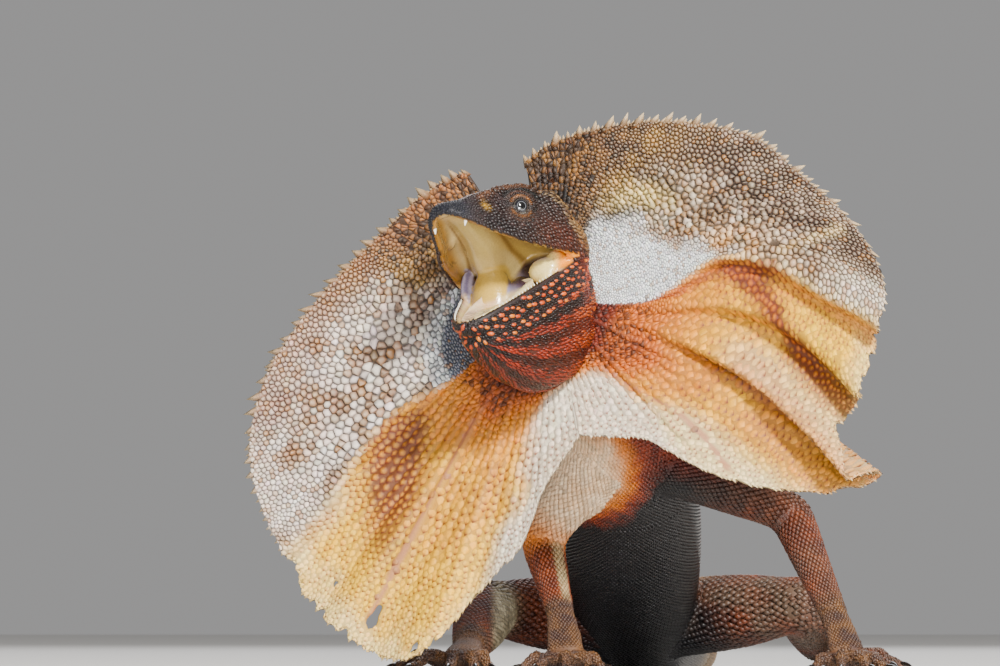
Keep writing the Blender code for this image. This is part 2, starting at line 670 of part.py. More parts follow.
def foot_object(joint, foot: Foot) -> bpy.types.Object:
    """A hand or foot: a flat palm from the wrist or ankle to the knuckles, and five digits."""
    angle = math.radians(foot.heading)
    across = Vector((math.cos(angle), -math.sin(angle), 0))
    joint, knuckles = Vector(joint), Vector(foot.knuckles)
    thick = foot.digit_radius * 1.6
    rows = [
        (tuple(joint), across, foot.half_width * 0.75, thick * 1.15, thick * 1.15),
        (tuple(joint.lerp(knuckles, 0.6)), across, foot.half_width * 0.95, thick, thick),
        (tuple(knuckles), across, foot.half_width, thick * 0.85, thick * 0.85),
    ]
    palm = tube("palm", rings_through(rows, 2), 10, (0.002, 0.002))
    pieces = []
    for i, (spread, length) in enumerate(foot.digits):
        share = (i - 2) / 2
        root = knuckles - across * share * foot.half_width * 0.8
        root.z = foot.digit_radius * 1.7
        pieces += digit(root, foot.heading + spread, length, foot.digit_radius)
    boolean(palm, pieces, "UNION")
    return palm


def make_limbs() -> None:
    """Both arms and both legs, each cut clear of what it grows from."""
    lengths = (
        (ARMS, HANDS, ("upper_arm", "forearm", "hand"), UPPER_ARM_RADII, FOREARM_RADII),
        (LEGS, FEET, ("thigh", "shin", "foot"), THIGH_RADII, SHIN_RADII),
    )
    for limbs, feet, names, upper_radii, lower_radii in lengths:
        for side, (root, joint, end) in limbs.items():
            upper = limb_hull(root, joint, upper_radii)
            trunk = trunk_length(NECK_END, TORSO_END, grow=GAP)
            rump = trunk_length(TORSO_END, TORSO_END + 1, grow=GAP)
            boolean(upper, [trunk, rump, neck_hull(GAP)], "DIFFERENCE")
            finish(upper, f"{names[0]}_{side}", "skin_brown")
            lower = limb_hull(joint, end, lower_radii)
            boolean(lower, [limb_hull(root, joint, upper_radii, GAP)], "DIFFERENCE")
            finish(lower, f"{names[1]}_{side}", "skin_brown")
            foot = foot_object(end, feet[side])
            boolean(foot, [limb_hull(joint, end, lower_radii, GAP), floor_cutter()], "DIFFERENCE")
            finish(foot, f"{names[2]}_{side}", "skin_brown")


def frill_point(lobe: Lobe, angle: float, along: float) -> Vector:
    """A point of the frill's middle surface: angle from the nape, and share of the way from root to rim."""
    root = smooth_value(ROOT_RADIUS, angle)
    rim = smooth_value(lobe.rim, angle)
    grown = max(0.0, (along - FOLD_START) / (1 - FOLD_START)) ** 1.2
    swing = smooth_value(lobe.bow, angle) * math.sin(math.pi * along)
    turn = math.radians(angle + swing + smooth_value(lobe.folds, angle, 1) * grown)
    radius = root + (rim - root) * along
    forward = FRILL_CUP * along**2 + smooth_value(lobe.folds, angle, 2) * grown
    across = lobe.side * (GAP / 2 + radius * math.sin(turn))
    return FRILL_FRAME @ Vector((across, -forward, radius * math.cos(turn)))


def column_angles(lobe: Lobe) -> list[float]:
    """The angles of the membrane's columns, closer together where it is folded."""
    limits = (lobe.rim[0][0], *FOLDED, 180)
    angles = [180.0]
    for low, high, step in zip(limits, limits[1:], (COLUMN_STEP, FOLDED_STEP, COLUMN_STEP)):
        count = round((high - low) / step)
        angles += [low + (high - low) * i / count for i in range(count)]
    return sorted(angles)


def frill_membrane(name: str, lobe: Lobe) -> bpy.types.Object:
    """One lobe's membrane, alike on both faces, thick at its ribs and root and thin at its rim."""
    mesh = bmesh.new()
    weights = mesh.verts.layers.deform.verify()
    grid = []
    for angle in column_angles(lobe):
        rib = max(math.exp(-(((angle - r) / 2.2) ** 2)) for r in lobe.ribs)
        column = []
        for j in range(FRILL_ROWS + 1):
            along = j / FRILL_ROWS
            vert = mesh.verts.new(frill_point(lobe, angle, along))
            vert[weights][0] = min(1.0, 0.45 * (1 - along) + 0.25 + 0.55 * rib * (1 - along**3))
            column.append(vert)
        grid.append(column)
    for first, second in zip(grid, grid[1:]):
        for j in range(FRILL_ROWS):
            mesh.faces.new((first[j], second[j], second[j + 1]))
            mesh.faces.new((first[j], second[j + 1], first[j + 1]))
    obj = finished_mesh(name, mesh)
    group = obj.vertex_groups.new(name="thickness")
    shell = obj.modifiers.new("membrane", "SOLIDIFY")
    shell.thickness = MEMBRANE
    shell.offset = 0.0
    shell.vertex_group = group.name
    shell.thickness_vertex_group = RIM_SHARE
    bpy.context.view_layer.update()
    made = bpy.data.meshes.new_from_object(obj.evaluated_get(bpy.context.evaluated_depsgraph_get()))
    obj.modifiers.remove(shell)
    obj.data = made
    return obj


def rim_spines(lobe: Lobe, draw: random.Random) -> list[bpy.types.Object]:
    """The pointed scales along the rim, longest on its upper half."""
    made = []
    angle = lobe.rim[0][0] + 1.0
    while angle < SPINE_END:
        rim = frill_point(lobe, angle, 1.0)
        out = (rim - frill_point(lobe, angle, 0.93)).normalized()
        length = smooth_value(SPINE_LENGTH, angle) * draw.uniform(0.8, 1.15)
        radius = max(0.0009, length * SPINE_SHARE)
        made.append(cone_along(rim - out * SPINE_SINK, out, radius, length + SPINE_SINK, SPINE_SIDES))
        step = (frill_point(lobe, angle + 1.0, 1.0) - rim).length
        angle += SPINE_PITCH / step * draw.uniform(0.9, 1.1)
    return made


def make_frill() -> None:
    """Both lobes of the frill, each cut clear of the head, throat and neck that it grows from."""
    draw = random.Random(SEED)
    for name, lobe in LOBES.items():
        membrane = frill_membrane(f"frill_{name}", lobe)
        boolean(membrane, rim_spines(lobe, draw), "UNION")
        hulls = [skull_hull(GAP), jaw_hull(GAP), throat_hull(GAP), neck_hull(GAP)]
        hulls.append(trunk_length(NECK_END, NECK_END + 1, grow=GAP))
        boolean(membrane, hulls, "DIFFERENCE")
        finish(membrane, f"frill_{name}", "frill_pale")


def centre_on_floor() -> None:
    """Parents every node to one empty that puts the model's middle over the origin, on the floor."""
    nodes = [o for o in bpy.context.scene.collection.objects if o.type == "MESH"]
    body = bpy.data.collections.new("frilled_lizard")
    bpy.context.scene.collection.children.link(body)
    root = bpy.data.objects.new("lizard_root", None)
    body.objects.link(root)
    bpy.context.view_layer.update()
    corners = [o.matrix_world @ v.co for o in nodes for v in o.data.vertices]
    for node in nodes:
        bpy.context.scene.collection.objects.unlink(node)
        body.objects.link(node)
        node.parent = root
    middle = [(min(c[k] for c in corners) + max(c[k] for c in corners)) / 2 for k in range(2)]
    root.location = (-middle[0], -middle[1], 0.0)


def main() -> None:
    """Builds the whole animal."""
    clear_scene()
    make_head()
    make_jaw()
    make_trunk()
    make_limbs()
    make_frill()
    centre_on_floor()


main()
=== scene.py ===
"""Looks of the frilled lizard: one scaly skin over its solids, with eyes, teeth, tongue and claws.

Metres, +Z up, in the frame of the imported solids. The animal faces -Y and its left side is +X.
"""

import logging
import math
import random
from collections.abc import Callable, Iterable
from dataclasses import dataclass, field
from enum import Enum
from functools import partial
from itertools import product

import bmesh
import bpy
import numpy as np
from mathutils import Matrix, Vector, geometry
from mathutils.bvhtree import BVHTree
from mathutils.kdtree import KDTree


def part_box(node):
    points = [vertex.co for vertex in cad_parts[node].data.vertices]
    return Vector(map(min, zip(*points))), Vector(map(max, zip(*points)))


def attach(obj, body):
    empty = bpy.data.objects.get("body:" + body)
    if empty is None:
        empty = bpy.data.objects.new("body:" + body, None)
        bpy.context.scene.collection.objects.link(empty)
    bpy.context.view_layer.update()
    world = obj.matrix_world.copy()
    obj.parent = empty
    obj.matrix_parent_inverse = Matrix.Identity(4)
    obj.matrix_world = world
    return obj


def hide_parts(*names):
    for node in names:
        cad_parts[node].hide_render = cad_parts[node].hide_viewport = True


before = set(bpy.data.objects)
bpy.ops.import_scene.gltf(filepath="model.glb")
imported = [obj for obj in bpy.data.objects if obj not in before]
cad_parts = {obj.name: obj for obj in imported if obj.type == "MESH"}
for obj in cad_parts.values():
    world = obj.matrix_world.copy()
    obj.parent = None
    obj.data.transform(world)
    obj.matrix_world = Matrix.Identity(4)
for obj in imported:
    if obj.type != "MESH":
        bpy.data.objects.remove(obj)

LOG = logging.getLogger("frilled_lizard")
SEED = 7

HEAD_YAW, HEAD_PITCH, HEAD_ROLL = 34.0, 19.3, 14.0
SNOUT_TIP = Vector((-0.0543, -0.0305, 0.155))
GAPE = 42.0
JAW_HINGE = Vector((0.0, 0.058, -0.003))
EYE_CENTRE = Vector((0.0129, 0.03, 0.0085))
EYE_RADIUS = 0.0049
EYE_FACING = Vector((0.74, -0.6, -0.2)).normalized()


def turned(yaw: float, pitch: float, roll: float) -> Matrix:
    """A rotation that turns what faces -Y to its own right, lifts its front and raises its left side.

    Args:
        yaw: Turn to the right, in degrees.
        pitch: Lift of the front, in degrees.
        roll: Rise of the left side, in degrees.

    Returns:
        The rotation.
    """
    return (
        Matrix.Rotation(math.radians(-yaw), 4, "Z")
        @ Matrix.Rotation(math.radians(-pitch), 4, "X")
        @ Matrix.Rotation(math.radians(-roll), 4, "Y")
    )


def model_shift() -> Vector:
    """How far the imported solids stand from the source's own origin, read from the left eye's place.

    Returns:
        The shift, in metres.
    """
    low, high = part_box("eye_left")
    source_head = Matrix.Translation(SNOUT_TIP) @ turned(HEAD_YAW, HEAD_PITCH, HEAD_ROLL)
    return (low + high) / 2 - source_head @ EYE_CENTRE


SHIFT = model_shift()
HEAD_FRAME = Matrix.Translation(SNOUT_TIP + SHIFT) @ turned(HEAD_YAW, HEAD_PITCH, HEAD_ROLL)
JAW_FRAME = (
    HEAD_FRAME
    @ Matrix.Translation(JAW_HINGE)
    @ Matrix.Rotation(math.radians(GAPE), 4, "X")
    @ Matrix.Translation(-JAW_HINGE)
)
FRILL_FRAME = Matrix.Translation(Vector((-0.0183, 0.021, 0.1293)) + SHIFT) @ turned(22.0, 10.0, 20.0)


TONE_DEPTH, TONE_RICHNESS = 0.86, 1.28


def tone(code: str) -> np.ndarray:
    """A linear colour from six hexadecimal digits, deepened and enriched against the soft highlights.

    Args:
        code: Six hexadecimal digits.

    Returns:
        Linear red, green and blue.
    """
    value = np.array([int(code[i : i + 2], 16) / 255 for i in (0, 2, 4)])
    linear = np.where(value <= 0.04045, value / 12.92, ((value + 0.055) / 1.055) ** 2.4)
    grey = float(linear @ (0.3, 0.6, 0.1))
    return np.clip(TONE_DEPTH * (grey + (linear - grey) * TONE_RICHNESS), 0.002, 1.0)


def step(low: float, high: float, x: np.ndarray) -> np.ndarray:
    """A smooth rise from 0 at low to 1 at high."""
    t = np.clip((np.asarray(x, float) - low) / (high - low), 0.0, 1.0)
    return t * t * (3 - 2 * t)


def bump(x: np.ndarray, centre: float, width: float) -> np.ndarray:
    """A bell that is 1 at its centre."""
    return np.exp(-(((np.asarray(x, float) - centre) / width) ** 2))


def mix(first: str | np.ndarray, second: str | np.ndarray, share: np.ndarray) -> np.ndarray:
    """Colours between two, each given as a code or an array.

    Args:
        first: The colour at share 0.
        second: The colour at share 1.
        share: How much of the second.

    Returns:
        The colours.
    """
    first, second = (tone(c) if isinstance(c, str) else c for c in (first, second))
    share = np.asarray(share, float)[..., None]
    return first * (1 - share) + second * share


def layered(colour: np.ndarray, *layers: tuple) -> np.ndarray:
    """Colours with layers laid over them in turn, each a colour or its code and its share."""
    for code, share in layers:
        colour = mix(colour, code, share)
    return colour


def moved(points: np.ndarray, matrix: Matrix) -> np.ndarray:
    """Points taken through a matrix."""
    m = np.array(matrix, float)
    return points @ m[:3, :3].T + m[:3, 3]


def turned_by(directions: np.ndarray, matrix: Matrix) -> np.ndarray:
    """Directions taken through a matrix, with no shift."""
    return directions @ np.array(matrix, float)[:3, :3].T


def unit(vectors: np.ndarray) -> np.ndarray:
    """Vectors of length one."""
    return vectors / np.maximum(np.linalg.norm(vectors, axis=-1, keepdims=True), 1e-12)


def in_head(places: np.ndarray) -> np.ndarray:
    """Places in the head's own frame."""
    return moved(places, HEAD_FRAME.inverted())


def in_jaw(places: np.ndarray) -> np.ndarray:
    """Places in the lower jaw's own frame."""
    return moved(places, JAW_FRAME.inverted())


def either_side(places: np.ndarray) -> np.ndarray:
    """Places in the head's frame, with those on its right mirrored to its left."""
    return np.stack([np.abs(places[:, 0]), places[:, 1], places[:, 2]], axis=1)


def tree_of(places: np.ndarray) -> KDTree:
    """A search tree of places.

    Args:
        places: The points.

    Returns:
        The tree.
    """
    tree = KDTree(len(places))
    for i, place in enumerate(places):
        tree.insert(place, i)
    tree.balance()
    return tree


class Curve:
    """A smooth line through rows whose first column is x, held level beyond its ends."""

    def __init__(self, rows: Iterable) -> None:
        """Keeps the rows and the slope at each.

        Args:
            rows: Places and the values there.
        """
        data = np.array(sorted(tuple(r) for r in rows), float)
        self.x, self.y = data[:, 0], data[:, 1:]
        after = np.minimum(np.arange(len(data)) + 1, len(data) - 1)
        before = np.maximum(np.arange(len(data)) - 1, 0)
        self.slope = (self.y[after] - self.y[before]) / (self.x[after] - self.x[before])[:, None]

    def __call__(self, x: np.ndarray) -> np.ndarray:
        """The values at x, one column for each of the rows' values, or a plain array where there is one.

        Args:
            x: Where to find values.

        Returns:
            The values.
        """
        x = np.clip(np.asarray(x, float), self.x[0], self.x[-1])
        i = np.clip(np.searchsorted(self.x, x, side="left") - 1, 0, len(self.x) - 2)
        span = self.x[i + 1] - self.x[i]
        t = ((x - self.x[i]) / span)[..., None]
        span = span[..., None]
        value = (
            (2 * t**3 - 3 * t**2 + 1) * self.y[i]
            + (t**3 - 2 * t**2 + t) * span * self.slope[i]
            + (3 * t**2 - 2 * t**3) * self.y[i + 1]
            + (t**3 - t**2) * span * self.slope[i + 1]
        )
        return value[..., 0] if self.y.shape[1] == 1 else value


class Noise:
    """Smooth blotches, about 0 to 1, the same at each run."""

    def __init__(self, seed: int, cells: int = 48) -> None:
        """Draws the values that the blotches run between."""
        self.table = np.random.default_rng(seed).random((cells,) * 3)
        self.cells = cells

    def __call__(self, points: np.ndarray, size: float) -> np.ndarray:
        """The noise at points of two or three coordinates, with blotches of a size.

        Args:
            points: The points.
            size: The blotches' size.

        Returns:
            A value for each point.
        """
        p = np.asarray(points, float) / size
        if p.shape[-1] == 2:
            p = np.concatenate([p, np.zeros_like(p[..., :1])], axis=-1)
        base = np.floor(p).astype(int)
        part = p - base
        part = part * part * (3 - 2 * part)
        total = np.zeros(p.shape[:-1])
        for corner in product((0, 1), repeat=3):
            weight = np.prod(np.where(np.array(corner) == 1, part, 1 - part), axis=-1)
            at = (base + np.array(corner)) % self.cells
            total += weight * self.table[at[..., 0], at[..., 1], at[..., 2]]
        return total

    def spread(self, points: np.ndarray, size: float) -> np.ndarray:
        """Noise of two sizes together, with its contrast raised."""
        value = 0.65 * self(points, size) + 0.35 * self(np.asarray(points) + 3.7, size * 0.43)
        return np.clip((value - 0.5) * 1.9 + 0.5, 0, 1)


NOISE = Noise(SEED)


@dataclass
class Loft:
    """A tube through stations of place, side hint, half width, rise and drop.

    Its first measure t counts stations and its second is the turn about it: 0 on the left side, a quarter
    turn at the top.
    """

    stations: list
    power: float = 2.1
    matrix: Matrix = field(default_factory=lambda: Matrix.Identity(4))

    def __post_init__(self) -> None:
        """Makes the curve through the stations and measures it."""
        rows = [(i, *place, *hint, *sizes) for i, (place, hint, *sizes) in enumerate(self.stations)]
        self.curve = Curve(rows)
        self.last = len(rows) - 1
        fine = np.linspace(0, self.last, self.last * 30 + 1)
        centres = self.curve(fine)[:, :3]
        run = np.concatenate([[0], np.cumsum(np.linalg.norm(np.diff(centres, axis=0), axis=1))])
        self.fine, self.run, self.length = fine, run, run[-1]

    def at_length(self, run: np.ndarray) -> np.ndarray:
        """The t at lengths along the centre line."""
        return np.interp(run, self.run, self.fine)

    def frames(self, t: np.ndarray) -> tuple:
        """Centre, side, up and direction on the centre line, and half width, rise and drop.

        Args:
            t: Places along the tube.

        Returns:
            The five of them, each with a row for each place.
        """
        t = np.asarray(t, float)
        row = self.curve(t)
        ahead, behind = self.curve(np.minimum(t + 0.05, self.last)), self.curve(np.maximum(t - 0.05, 0))
        tangent = unit(ahead[..., :3] - behind[..., :3])
        hint = row[..., 3:6]
        side = unit(hint - tangent * np.sum(hint * tangent, axis=-1, keepdims=True))
        return row[..., :3], side, np.cross(side, tangent), tangent, row[..., 6:9]

    def surface(self, t: np.ndarray, angle: np.ndarray, grow: float = 0.0) -> np.ndarray:
        """Points of the tube's surface, grown by a margin.

        Args:
            t: Places along the tube.
            angle: Turns about the tube.
            grow: The margin.

        Returns:
            The points.
        """
        centre, side, up, _, sizes = self.frames(t)
        c, s = np.cos(angle), np.sin(angle)
        across = np.sign(c) * np.abs(c) ** (2 / self.power)
        above = np.sign(s) * np.abs(s) ** (2 / self.power)
        height = np.where(s > 0, sizes[..., 1], sizes[..., 2]) + grow
        out = side * (across * (sizes[..., 0] + grow))[..., None] + up * (above * height)[..., None]
        return moved((centre + out).reshape(-1, 3), self.matrix).reshape(centre.shape)

    def solid(self, name: str, rows: int, sides: int, caps: tuple, grow: float = 0.0) -> bpy.types.Object:
        """The tube as a closed mesh with rounded ends.

        Args:
            name: The piece's name.
            rows: How many rows of points it has.
            sides: How many points each row has.
            caps: How far its two ends bulge.
            grow: The margin.

        Returns:
            The new object.
        """
        angles = np.linspace(0, 2 * math.pi, sides, endpoint=False)
        t = np.linspace(0, self.last, rows)
        body = self.surface(*np.meshgrid(t, angles, indexing="ij"), grow)
        ends = []
        for t_end, cap, sign in ((0.0, caps[0], -1), (float(self.last), caps[1], 1)):
            centre, _, _, tangent, _ = self.frames(np.array([t_end]))
            centre = moved(centre, self.matrix)[0]
            tangent = turned_by(tangent, self.matrix)[0] * sign
            ring = body[0 if sign < 0 else -1]
            turns = np.linspace(0, math.pi / 2, 5)[1:] if cap else [math.pi / 2]
            reach = cap + grow if cap else 0.0
            rounded = [centre + (ring - centre) * math.cos(a) + tangent * reach * math.sin(a) for a in turns]
            ends.append(rounded)
        points = np.array(ends[0][::-1] + list(body) + ends[1])
        return wrapped(name, points)


def wrapped(name: str, points: np.ndarray) -> bpy.types.Object:
    """A closed skin from rows of points round it, whose first and last rows are its poles.

    Args:
        name: The object's name.
        points: Rows by points by three coordinates.

    Returns:
        The new object.
    """
    mesh = bmesh.new()
    rows, sides = points.shape[:2]
    bmesh.ops.create_grid(mesh, x_segments=sides, y_segments=rows - 1, size=1.0)
    closed = np.concatenate([points, points[:, :1]], axis=1).reshape(-1, 3)
    for vert, place in zip(mesh.verts, closed):
        vert.co = place
    bmesh.ops.remove_doubles(mesh, verts=mesh.verts, dist=2e-6)
    return finished(name, mesh)


def finished(name: str, mesh: bmesh.types.BMesh, matrix: Matrix | None = None) -> bpy.types.Object:
    """An object from a bmesh whose faces are turned outwards, with its place in its mesh.

    Args:
        name: The piece's name.
        mesh: The bmesh, which is freed.
        matrix: The frame.

    Returns:
        The new object.
    """
    if matrix:
        mesh.transform(matrix)
    bmesh.ops.recalc_face_normals(mesh, faces=mesh.faces)
    data = bpy.data.meshes.new(name)
    mesh.to_mesh(data)
    mesh.free()
    obj = bpy.data.objects.new(name, data)
    bpy.context.scene.collection.objects.link(obj)
    return obj


def apply_all(obj: bpy.types.Object) -> None:
    """Turns an object's modifiers into its mesh.

    Args:
        obj: The object.
    """
    bpy.context.view_layer.update()
    made = bpy.data.meshes.new_from_object(obj.evaluated_get(bpy.context.evaluated_depsgraph_get()))
    obj.modifiers.clear()
    obj.data = made


def cut(obj: bpy.types.Object, others: list, operation: str = "DIFFERENCE") -> None:
    """Cuts others from an object, or joins them to it, and removes them.

    Args:
        obj: The object.
        others: The objects, which are removed.
        operation: What the Boolean does.
    """
    operands = bpy.data.collections.new("operands")
    bpy.context.scene.collection.children.link(operands)
    for other in others:
        operands.objects.link(other)
    change = obj.modifiers.new("cut", "BOOLEAN")
    change.operation, change.operand_type, change.solver = operation, "COLLECTION", "MANIFOLD"
    change.collection = operands
    apply_all(obj)
    for other in others:
        bpy.data.objects.remove(other)
    bpy.data.collections.remove(operands)


def fused(
    name: str, pieces: list, voxel: float, rounds: int, softness: Callable | None = None
) -> bpy.types.Object:
    """Closed pieces melted into one even skin and smoothed.

    Args:
        name: The new object's name.
        pieces: The closed objects, which are removed.
        voxel: The size of the skin's faces.
        rounds: How many rounds of smoothing it gets.
        softness: Gives each point's share of the smoothing, or nothing for the full share everywhere.

    Returns:
        The new object.
    """
    mesh = bmesh.new()
    for piece in pieces:
        mesh.from_mesh(piece.data)
        bpy.data.objects.remove(piece)
    obj = finished(name, mesh)
    remesh = obj.modifiers.new("remesh", "REMESH")
    remesh.mode, remesh.voxel_size = "VOXEL", voxel
    apply_all(obj)
    group = obj.vertex_groups.new(name="soft")
    places = points_of(obj.data)
    weights = np.ones(len(places)) if softness is None else softness(places)
    for level in np.unique(np.round(weights, 1)):
        chosen = np.nonzero(np.round(weights, 1) == level)[0].tolist()
        group.add(chosen, float(level), "REPLACE")
    smooth = obj.modifiers.new("smooth", "SMOOTH")
    smooth.factor, smooth.iterations, smooth.vertex_group = 0.5, rounds, "soft"
    apply_all(obj)
    obj.vertex_groups.clear()
    return obj


def vectors_of(data: bpy.types.Mesh, kind: str) -> np.ndarray:
    """One vector of each of a mesh's points, by the name that Blender has for it.

    Args:
        data: The mesh.
        kind: The vector's name.

    Returns:
        A row for each point.
    """
    flat = np.empty(len(data.vertices) * 3, np.float32)
    data.vertices.foreach_get(kind, flat)
    return flat.reshape(-1, 3).astype(float)


def points_of(data: bpy.types.Mesh) -> np.ndarray:
    """A mesh's points."""
    return vectors_of(data, "co")


def normals_of(data: bpy.types.Mesh) -> np.ndarray:
    """A mesh's normals at its points."""
    return vectors_of(data, "normal")


def place_points(data: bpy.types.Mesh, points: np.ndarray) -> None:
    """Moves a mesh's points."""
    data.vertices.foreach_set("co", points.astype(np.float32).ravel())
    data.update()


def paint(data: bpy.types.Mesh, colours: np.ndarray, wet: np.ndarray) -> None:
    """Stores each point's colour, and how wet or glossy it is.

    Args:
        data: The mesh.
        colours: A colour for each point.
        wet: How wet each point is, 0 to 1.
    """
    tint = data.attributes.new("Tint", "FLOAT_COLOR", "POINT")
    flat = np.concatenate([np.clip(colours, 0, 1), np.ones((len(colours), 1))], axis=1)
    tint.data.foreach_set("color", flat.astype(np.float32).ravel())
    gloss = data.attributes.new("Wet", "FLOAT", "POINT")
    gloss.data.foreach_set("value", np.asarray(wet, np.float32))


# ----- The forms of the trunk and limbs, as the solids have them.

TRUNK = (
    ((-0.024, 0.01, 0.137), 30, 0.23, 0.018, 0.015, 0.0195),
    ((-0.0175, 0.022, 0.1275), 28, 0.2, 0.0182, 0.0165, 0.02),
    ((-0.008, 0.034, 0.112), 20, 0.12, 0.0185, 0.0175, 0.019),
    ((0.003, 0.044, 0.097), 8, 0.05, 0.0205, 0.019, 0.0195),
    ((0.008, 0.056, 0.0835), 0, 0.0, 0.0235, 0.0205, 0.022),
    ((0.01, 0.081, 0.068), 0, 0.0, 0.025, 0.0205, 0.0235),
    ((0.011, 0.11, 0.05), 0, 0.0, 0.026, 0.0205, 0.024),
    ((0.013, 0.14, 0.033), 0, 0.0, 0.024, 0.019, 0.022),
    ((0.016, 0.17, 0.0178), 0, 0.0, 0.019, 0.0165, 0.0184),
    ((0.021, 0.198, 0.0132), 0, 0.0, 0.0142, 0.0136, 0.0137),
)
TAIL = (
    (0.032, 0.24, 0.0106),
    (0.039, 0.295, 0.0087),
    (0.04, 0.355, 0.007),
    (0.03, 0.415, 0.0057),
    (0.011, 0.472, 0.0046),
    (-0.008, 0.531, 0.0037),
    (-0.013, 0.591, 0.0029),
    (-0.002, 0.648, 0.0021),
    (0.017, 0.695, 0.0014),
)
TAIL_SINK = 0.05
COAT = 0.00035


def round_station(place: Vector, hint: Iterable, radius: float) -> tuple:
    """A station of a round tube."""
    return (place, hint, radius, radius, radius)


def trunk_loft() -> Loft:
    """The whole trunk and tail.

    Returns:
        The tube.
    """
    rows = []
    for place, turn, tilt, *sizes in TRUNK:
        angle = math.radians(turn)
        rows.append((Vector(place) + SHIFT, (math.cos(angle), -math.sin(angle), tilt), *sizes))
    for x, y, radius in TAIL:
        rows.append(round_station(Vector((x, y, radius * (1 - TAIL_SINK))) + SHIFT, (1, 0, 0), radius))
    return Loft(rows)


class Limb(Enum):
    """The four limbs, each with the places of its joints."""

    ARM_LEFT = ((0.024, 0.052, 0.074), (0.066, 0.065, 0.056), (0.08, 0.045, 0.021))
    ARM_RIGHT = ((0.0, 0.05, 0.0755), (-0.019, 0.069, 0.047), (-0.0128, 0.048, 0.0215))
    LEG_LEFT = ((0.029, 0.164, 0.02), (0.074, 0.136, 0.025), (0.08, 0.182, 0.01))
    LEG_RIGHT = ((0.005, 0.164, 0.02), (-0.037, 0.127, 0.0235), (-0.044, 0.086, 0.01))

    @property
    def is_arm(self) -> bool:
        """Whether this is a foreleg."""
        return self.name.startswith("ARM")

    @property
    def end_name(self) -> str:
        """What this limb's hand or foot is called."""
        return self.name.lower().replace("arm", "hand").replace("leg", "foot")

    @property
    def radii(self) -> tuple:
        """Radii at the start, middle and end of the upper and of the lower length."""
        if self.is_arm:
            return (0.0118, 0.0092, 0.0072), (0.007, 0.0062, 0.005)
        return (0.014, 0.0128, 0.0098), (0.0098, 0.0094, 0.006)

    def loft(self) -> Loft:
        """The whole limb from the shoulder or hip to the wrist or ankle, as one bent tube.

        Returns:
            The tube.
        """
        start, joint, end = (Vector(p) + SHIFT for p in self.value)
        upper, lower = self.radii
        hint = Vector((0.35, -0.94, 0.2)) if self.is_arm else Vector((0.2, 0.3, 0.93))
        bend = max(upper[2], lower[0]) * 1.02
        stations = (
            (start, upper[0]),
            (start.lerp(joint, 0.5), upper[1]),
            (start.lerp(joint, 0.86), upper[2] * 1.04),
            (joint.lerp(start.lerp(end, 0.5), 0.04), bend),
            (joint.lerp(end, 0.16), lower[0] * 1.02),
            (joint.lerp(end, 0.5), lower[1]),
            (end, lower[2]),
        )
        return Loft([round_station(place, hint, radius) for place, radius in stations], 2.0)


# Of each claw: how far along it a station lies, its rise in millimetres and its share of the radius.
CLAW_PROFILE = (
    (-0.25, 0.3, 1.0), (0.15, 0.75, 1.0), (0.5, 0.55, 0.72), (0.8, -0.2, 0.42), (1.0, -0.95, 0.12),
)


@dataclass
class Foot:
    """A hand or foot: where its digits spring, which way it points and how they spread."""

    limb: Limb
    knuckles: tuple
    heading: float
    half_width: float
    digit_radius: float
    digits: tuple
    claw_length: float = 0.0062
    claw_radius: float = 0.0012

    def digit_lofts(self) -> list:
        """Each finger or toe as a tube that arches down to the floor.

        Returns:
            A tube for each.
        """
        made = []
        for i, (spread, length) in enumerate(self.digits):
            ahead, hint = self.directions(self.heading + spread)
            _, across = self.directions(self.heading)
            r = self.digit_radius
            root = Vector(self.knuckles) + SHIFT - across * (i - 2) / 2 * self.half_width * 0.8
            root.z = r * 1.7
            knee = root + ahead * length * 0.5 + Vector((0, 0, r * 3.1 - root.z))
            tip = root + ahead * length + Vector((0, 0, r * 1.15 - root.z))
            stations = (
                (root - ahead * r, 1.1), (root, 1.05), (knee, 0.96), (knee.lerp(tip, 0.5), 0.8), (tip, 0.84)
            )
            made.append(Loft([round_station(place, hint, r * share) for place, share in stations], 2.0))
        return made

    @staticmethod
    def directions(heading: float) -> tuple:
        """Ahead and to the left of a heading, level."""
        s, c = math.sin(math.radians(heading)), math.cos(math.radians(heading))
        return Vector((-s, -c, 0)), Vector((c, -s, 0))

    def palm_loft(self) -> Loft:
        """The flat of the hand or foot, from the wrist or ankle to the knuckles.

        Returns:
            The tube.
        """
        _, across = self.directions(self.heading)
        joint, knuckles = Vector(self.limb.value[2]) + SHIFT, Vector(self.knuckles) + SHIFT
        thick = self.digit_radius * 1.6
        rows = [
            (joint, across, self.half_width * 0.75, thick * 1.15, thick * 1.15),
            (joint.lerp(knuckles, 0.6), across, self.half_width * 0.95, thick, thick),
            (knuckles, across, self.half_width, thick * 0.85, thick * 0.85),
        ]
        return Loft(rows, 2.2)

    def claws(self) -> list:
        """Each claw as a hooked horn that thins to its point.

        Returns:
            The new objects.
        """
        made = []
        for loft, (spread, _) in zip(self.digit_lofts(), self.digits):
            ahead, hint = self.directions(self.heading + spread)
            tip = Vector(loft.stations[-1][0])
            rows = []
            for along, rise, share in CLAW_PROFILE:
                place = tip + ahead * self.claw_length * along + Vector((0, 0, rise * 0.001))
                radius = self.claw_radius * share
                rows.append((place, hint, radius * 0.72, radius, radius))
            made.append(Loft(rows, 2.0).solid("claw", 15, 10, (0.0, 0.0001)))
        return made


